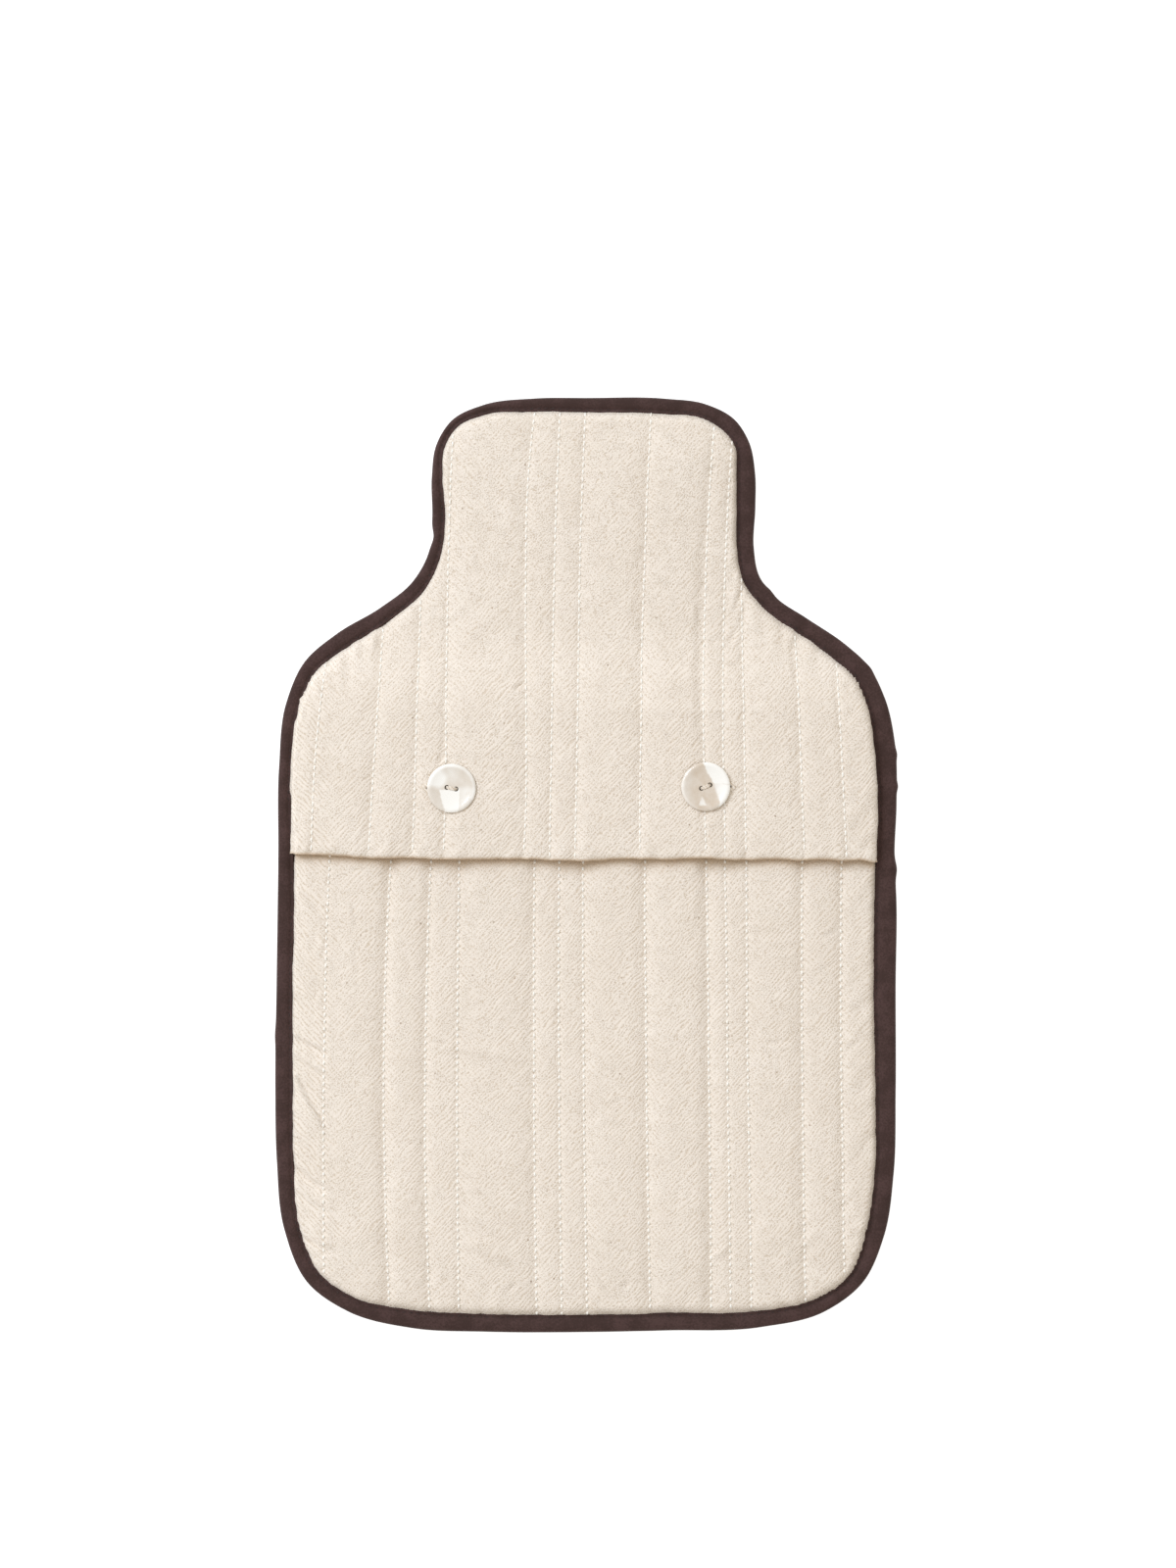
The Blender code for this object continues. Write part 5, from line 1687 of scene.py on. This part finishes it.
@dataclass
class ShellButton:
    """A two-hole button turned from shell, with the thread that sews it on."""

    place: Button
    seat: float                 # height of the cloth under it
    foot: float                 # height of the lower panel under it
    gap: float = 0.1            # between it and the cloth
    face: float = 1.8           # thickness in the middle of its dish
    hole: float = 0.9           # radius of a hole
    hole_flare: float = 0.35    # how much wider it is at its top
    hole_reach: float = 1.78    # from the button's middle to a hole's
    strands: int = 6            # turns of thread through the holes
    strand: float = 0.17        # radius of the thread
    # In from the rim and up: the underside, the rounded rim, and down into the dish.
    section: tuple[Pair, ...] = (
        (4.5, 0.0), (2.6, 0.05), (1.6, 0.2), (0.8, 0.55), (0.3, 0.95), (0.07, 1.3), (0.0, 1.6),
        (0.05, 1.95), (0.25, 2.28), (0.6, 2.48), (1.0, 2.56), (1.4, 2.54), (1.9, 2.42),
        (2.6, 2.24), (3.6, 2.06), (4.9, 1.92), (6.4, 1.84), (7.9, 1.8),
    )
    sides: int = 96             # sides of the round
    sharp: float = 35.0         # edges that turn more than this many degrees stay sharp
    # The buttonhole's stitches: out from its edge and up at each point, and so for the
    # bar at its end, along the cover instead of out.
    edge_out: tuple[float, ...] = (-0.25, 0.0, 0.55, 1.1, 1.35)
    edge_up: tuple[float, ...] = (-0.5, 0.06, 0.2, 0.1, -0.35)
    bar_along: tuple[float, ...] = (-0.35, -0.1, 0.3, 0.7, 0.95)
    bar_up: tuple[float, ...] = (-0.35, -0.02, 0.05, -0.02, -0.35)
    bar_count: int = 6

    @property
    def ahead(self) -> Floats:
        """The direction from one hole to the other."""
        turn = math.radians(self.place.turn)
        return np.array([math.cos(turn), math.sin(turn), 0.0])

    def build(self, material: Material) -> Piece:
        """Turn the button and drill its two holes.

        Args:
            material: Its finish.

        Returns:
            The button.
        """
        name = f"button_{self.place.side.value}"
        rim = [(BUTTON_RADIUS - inset, up) for inset, up in self.section]
        centre = np.array([self.place.x, self.place.y, self.seat + self.gap])
        points, faces = self.turned([(0.0, 0.0), *rim, (0.0, self.face)], self.sides)
        piece = add_piece(name, points + centre, faces, material)
        wide = self.hole + self.hole_flare
        points, faces = self.turned([
            (0.0, -1.0), (self.hole, -1.0), (self.hole, self.face - 0.15), (wide, self.face + 0.25),
            (wide, 4.0), (0.0, 4.0),
        ], 32)
        drills = []
        for reach in (self.hole_reach, -self.hole_reach):
            mesh = new_mesh("drill", points + centre + reach * self.ahead, faces)
            drills.append(new_object("drill", mesh))
            cut = piece.modifiers.new("hole", "BOOLEAN")
            cut.operation, cut.solver, cut.object = "DIFFERENCE", "EXACT", drills[-1]
        bpy.context.view_layer.update()
        evaluated = piece.evaluated_get(bpy.context.evaluated_depsgraph_get())
        drilled = bpy.data.meshes.new_from_object(evaluated)
        piece.modifiers.clear()
        piece.data = drilled
        drilled.shade_smooth()
        drilled.set_sharp_from_angle(angle=math.radians(self.sharp))
        for drill in drills:
            bpy.data.objects.remove(drill)
        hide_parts(name)
        return piece

    @staticmethod
    def turned(profile: Sequence[Pair], sides: int) -> tuple[Floats, Faces]:
        """Turn a profile round the upright axis.

        Args:
            profile: Radius and height, from the axis at the bottom to the axis at the top.
            sides: Sides of the round.

        Returns:
            Points and faces.
        """
        rim = profile[1:-1]
        points = [(0.0, 0.0, profile[0][1]), (0.0, 0.0, profile[-1][1])]
        faces = []
        for k in range(sides):
            turn = 2 * math.pi * k / sides
            points += [(r * math.cos(turn), r * math.sin(turn), z) for r, z in rim]
            here, there = 2 + k * len(rim), 2 + (k + 1) % sides * len(rim)
            faces += [[0, there, here], [1, here + len(rim) - 1, there + len(rim) - 1]]
            faces += [[here + i, there + i, there + i + 1, here + i + 1] for i in range(len(rim) - 1)]
        return np.array(points), faces

    def sew_on(self, material: Material) -> Piece:
        """Sew the button on, with turns of thread side by side through its holes.

        Args:
            material: The thread's finish.

        Returns:
            The thread.
        """
        name = f"button_thread_{self.place.side.value}"
        aside = np.array([-self.ahead[1], self.ahead[0], 0.0])
        bar = self.seat + self.gap + self.face + 0.3
        low = self.foot + 0.2
        paths = []
        for k in range(self.strands):
            out = (k - (self.strands - 1) / 2) * self.strand * 1.2
            reach = self.hole_reach + 0.34 * (k % 2)
            rise = bar - 0.12 * (k % 2)
            legs = [(reach * 0.6, low), (reach * 0.8, low + 2.0), (reach, self.seat + 0.4),
                    (reach - 0.05, self.seat + 1.3), (reach - 0.35, rise - 0.5), (reach - 0.8, rise - 0.1)]
            route = [(-u, z) for u, z in legs] + [(-0.5, rise), (0.0, rise + 0.02), (0.5, rise)]
            route += [(u, z) for u, z in reversed(legs)]
            paths.append([np.array([self.place.x, self.place.y, z]) + self.ahead * u
                          + aside * out * (1.0 if z > self.seat + 2.0 else 0.8) for u, z in route])
        across = np.tile(aside, (self.strands, 1))
        points, faces = strand_mesh(np.array(paths), across, self.strand, 8)
        piece = add_piece(name, points, faces, material)
        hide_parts(name)
        return piece

    def buttonhole(self, panel: UpperFrontPanel, material: Material) -> Piece:
        """Sew the buttonhole's edge: close stitches along it and a bar across its end.

        Args:
            panel: The flap that the hole is cut in.
            material: The thread's finish.

        Returns:
            The stitches as one piece.
        """
        place = self.place
        middle = np.array([place.x + place.slot_shift, place.y])
        outer = -1.0 if place.side is Side.LEFT else 1.0
        paths, across, lift = [], [], []
        for t in np.arange(0.0, 2 * math.pi, 0.036):
            if outer * math.cos(t) < -0.9:
                continue
            edge = np.array([SLOT_HALF * math.cos(t), SLOT_WIDE * math.sin(t)])
            out = np.array([math.cos(t) / SLOT_HALF, math.sin(t) / SLOT_WIDE])
            out /= np.linalg.norm(out)
            paths.append([middle + edge + out * reach for reach in self.edge_out])
            across.append([-out[1], out[0], 0.0])
            lift.append(self.edge_up)
        for k in range(self.bar_count):
            x = outer * (SLOT_HALF + 0.25 + 0.28 * k)
            paths.append([middle + np.array([x, y]) for y in self.bar_along])
            across.append([1.0, 0.0, 0.0])
            lift.append(self.bar_up)
        flat = np.array(paths)
        level = panel.surfaces(panel.spots(flat.reshape(-1, 2)))[0].reshape(flat.shape[:2])
        z = level.max(axis=1, keepdims=True) + np.array(lift)
        points, faces = strand_mesh(np.dstack([flat, z]), np.array(across), 0.2)
        return add_piece(f"buttonhole_{place.side.value}", points, faces, material)


# -------------------------------------------------------------------------------- studio

@dataclass(frozen=True)
class Studio:
    """A white table under soft daylight from the upper left, seen straight from above."""

    aim: Pair = (0.78, 31.44)       # middle of the picture
    tall: float = 608.0             # height of the picture at the cloth's level
    level: float = 6.0              # that level
    lens: float = 120.0             # focal length
    long_side: float = 36.0         # on a picture this long
    lamp_colour: tuple[float, float, float] = (0.93, 1.0, 1.1)
    lamp_watts: float = 205.0
    lamp_size: float = 3.4          # in metres, as is its place
    lamp_place: tuple[float, float, float] = (-3.15, 2.55, 4.3)
    sky_colour: tuple[float, float, float] = (1.06, 0.99, 0.90)
    sky: float = 0.59               # strength of the light from all sides
    glow: float = 0.85              # what whitens the paper to the photo's ground
    half_table: float = 4000.0

    def build(self) -> None:
        """Set up the table, the lights and the camera."""
        self.table()
        self.lights()
        self.camera()

    def table(self) -> None:
        """Lay a wide sheet of matt white paper."""
        material = bpy.data.materials.new("white paper")
        material.use_nodes = True
        set_inputs(material.node_tree.nodes["Principled BSDF"], {
            "Base Color": linear("#C4C4C4"), "Roughness": 0.9, "Specular IOR Level": 0.1,
            "Emission Color": linear("#FFFFFF"), "Emission Strength": self.glow,
        })
        corners = np.array([(-1, -1, 0), (1, -1, 0), (1, 1, 0), (-1, 1, 0)])
        table = new_object("table", new_mesh("table", corners * self.half_table, [[0, 1, 2, 3]]))
        table.data.materials.append(material)

    def lights(self) -> None:
        """Hang a large soft light at the upper left, under a pale sky."""
        world = bpy.data.worlds.new("pale sky")
        world.use_nodes = True
        set_inputs(world.node_tree.nodes["Background"], {
            "Color": (*self.sky_colour, 1.0), "Strength": self.sky,
        })
        bpy.context.scene.world = world
        bpy.context.scene.view_settings.view_transform = "Standard"
        lamp = bpy.data.lights.new("window", "AREA")
        lamp.shape, lamp.size, lamp.energy = "DISK", self.lamp_size, self.lamp_watts
        lamp.color = self.lamp_colour
        holder = new_object("window", lamp)
        holder.location = self.lamp_place
        holder.rotation_euler = (-Vector(self.lamp_place)).to_track_quat("-Z", "Y").to_euler()

    def camera(self) -> None:
        """Hang the camera straight above the cover, its neck towards the picture's top."""
        lens = bpy.data.cameras.new("camera")
        lens.lens, lens.sensor_width, lens.sensor_fit = self.lens, self.long_side, "AUTO"
        lens.clip_start, lens.clip_end = 0.1, 20.0
        holder = new_object("camera", lens)
        away = self.tall * self.lens / self.long_side
        holder.location = (self.aim[0] * MM, self.aim[1] * MM, (self.level + away) * MM)
        bpy.context.scene.camera = holder


# --------------------------------------------------------------------------------- order

def sew_panels(edge: CoverEdge, layers: Layers) -> tuple[LowerFrontPanel, UpperFrontPanel]:
    """Build the three panels and sew their stitches.

    Args:
        edge: The cover's outline.
        layers: Heights of the layers.

    Returns:
        The two front panels, which the buttons join.
    """
    cotton = BrushedCottonTwill().make()
    white = SpunThread(name="white sewing thread", light="#FFFDF8", dark="#F3EEE4").make()
    lower = LowerFrontPanel(
        "front_lower_panel", edge, layers, StitchLines(LOWER_HEIGHTS, LOWER_LINES, LOWER_PULLS),
        StitchKind(pitch=2.69, length=1.35, radius=0.48, rise=0.45, tuck=0.04),
        flat=(248.0, 245.0), cut_area=0.0585,
        creases=(*(Crease(*row) for row in LOWER_CREASES), *(FallenCrease(*row) for row in LOWER_LAPS)))
    upper = UpperFrontPanel(
        "front_upper_panel", edge, layers, StitchLines(FLAP_HEIGHTS, FLAP_LINES, FLAP_PULLS, seed=12),
        StitchKind(pitch=2.79, length=2.1, radius=0.4, rise=0.32, tuck=0.06),
        flat=(248.0, 185.0), cut_area=0.0345, seed=131, drag=0.2,
        creases=tuple(Crease(*row) for row in FLAP_CREASES))
    straight = tuple((middle,) * 3 for _, middle, _ in LOWER_LINES)
    back = BackPanel(
        "back_panel", edge, layers, StitchLines((-165.0, 0.0, 165.0), straight, wander=0.2, seed=13),
        StitchKind(3.0, 1.9, 0.28), flat=(248.0, 372.0), cut_area=0.0775, cell=1.7, seed=231)
    for panel, rests_on, up in ((back, "binding", -1.0), (lower, "back_panel", 1.0),
                                (upper, "front_lower_panel", 1.0)):
        piece = panel.build(cotton)
        stitches = panel.sew(white, f"{panel.name}_stitches", up)
        panel.declare(piece, stitches, rests_on)
        log.info("%s: %d faces", piece.name, len(piece.data.polygons))
    return lower, upper


def bind(edge: CoverEdge, layers: Layers) -> None:
    """Fold the strip over the edge, and sew it down.

    Args:
        edge: The cover's outline.
        layers: Heights of the layers.
    """
    binding = Binding(edge, layers)
    strip = binding.build(DyedBindingCotton().make())
    brown = SpunThread(name="brown sewing thread", light="#3A2926", dark="#2A1D1B")
    binding.sew(brown.make())
    log.info("%s: %d faces", strip.name, len(strip.data.polygons))


def button_up(lower: LowerFrontPanel, upper: UpperFrontPanel) -> None:
    """Sew both buttons on, and their buttonholes.

    Args:
        lower: The panel that the buttons are sewn to.
        upper: The flap that they hold.
    """
    cream = SpunThread(name="cream button thread", light="#F0E7DB", dark="#D8C9B6").make()
    for place in BUTTONS:
        middle = np.array([place.x, place.y])
        ring = [middle + r * np.array([math.cos(t), math.sin(t)])
                for r in (2.0, 4.0, 6.0) for t in np.arange(24) * math.pi / 12]
        seat = float(upper.surfaces(upper.spots(np.array(ring)))[0].max())
        foot = float(lower.surfaces(lower.spots(middle[None]))[0][0])
        dip, patches = SHELL_GLINTS[place.side]
        shell = PolishedShell(name=f"polished shell {place.side.value}", centre=(place.x, place.y),
                              patches=patches, dip=dip)
        button = ShellButton(place, seat, foot)
        made = [button.build(shell.make()), button.sew_on(cream), button.buttonhole(upper, cream)]
        log.info("%s", ", ".join(piece.name for piece in made))


def main() -> None:
    """Build the cover's pieces in order, dress them, and set up the studio."""
    logging.basicConfig(level=logging.INFO, format="%(name)s: %(message)s")
    edge, layers = CoverEdge(), Layers()
    lower, upper = sew_panels(edge, layers)
    bind(edge, layers)
    button_up(lower, upper)
    Studio().build()


if __name__ == "__main__":
    main()
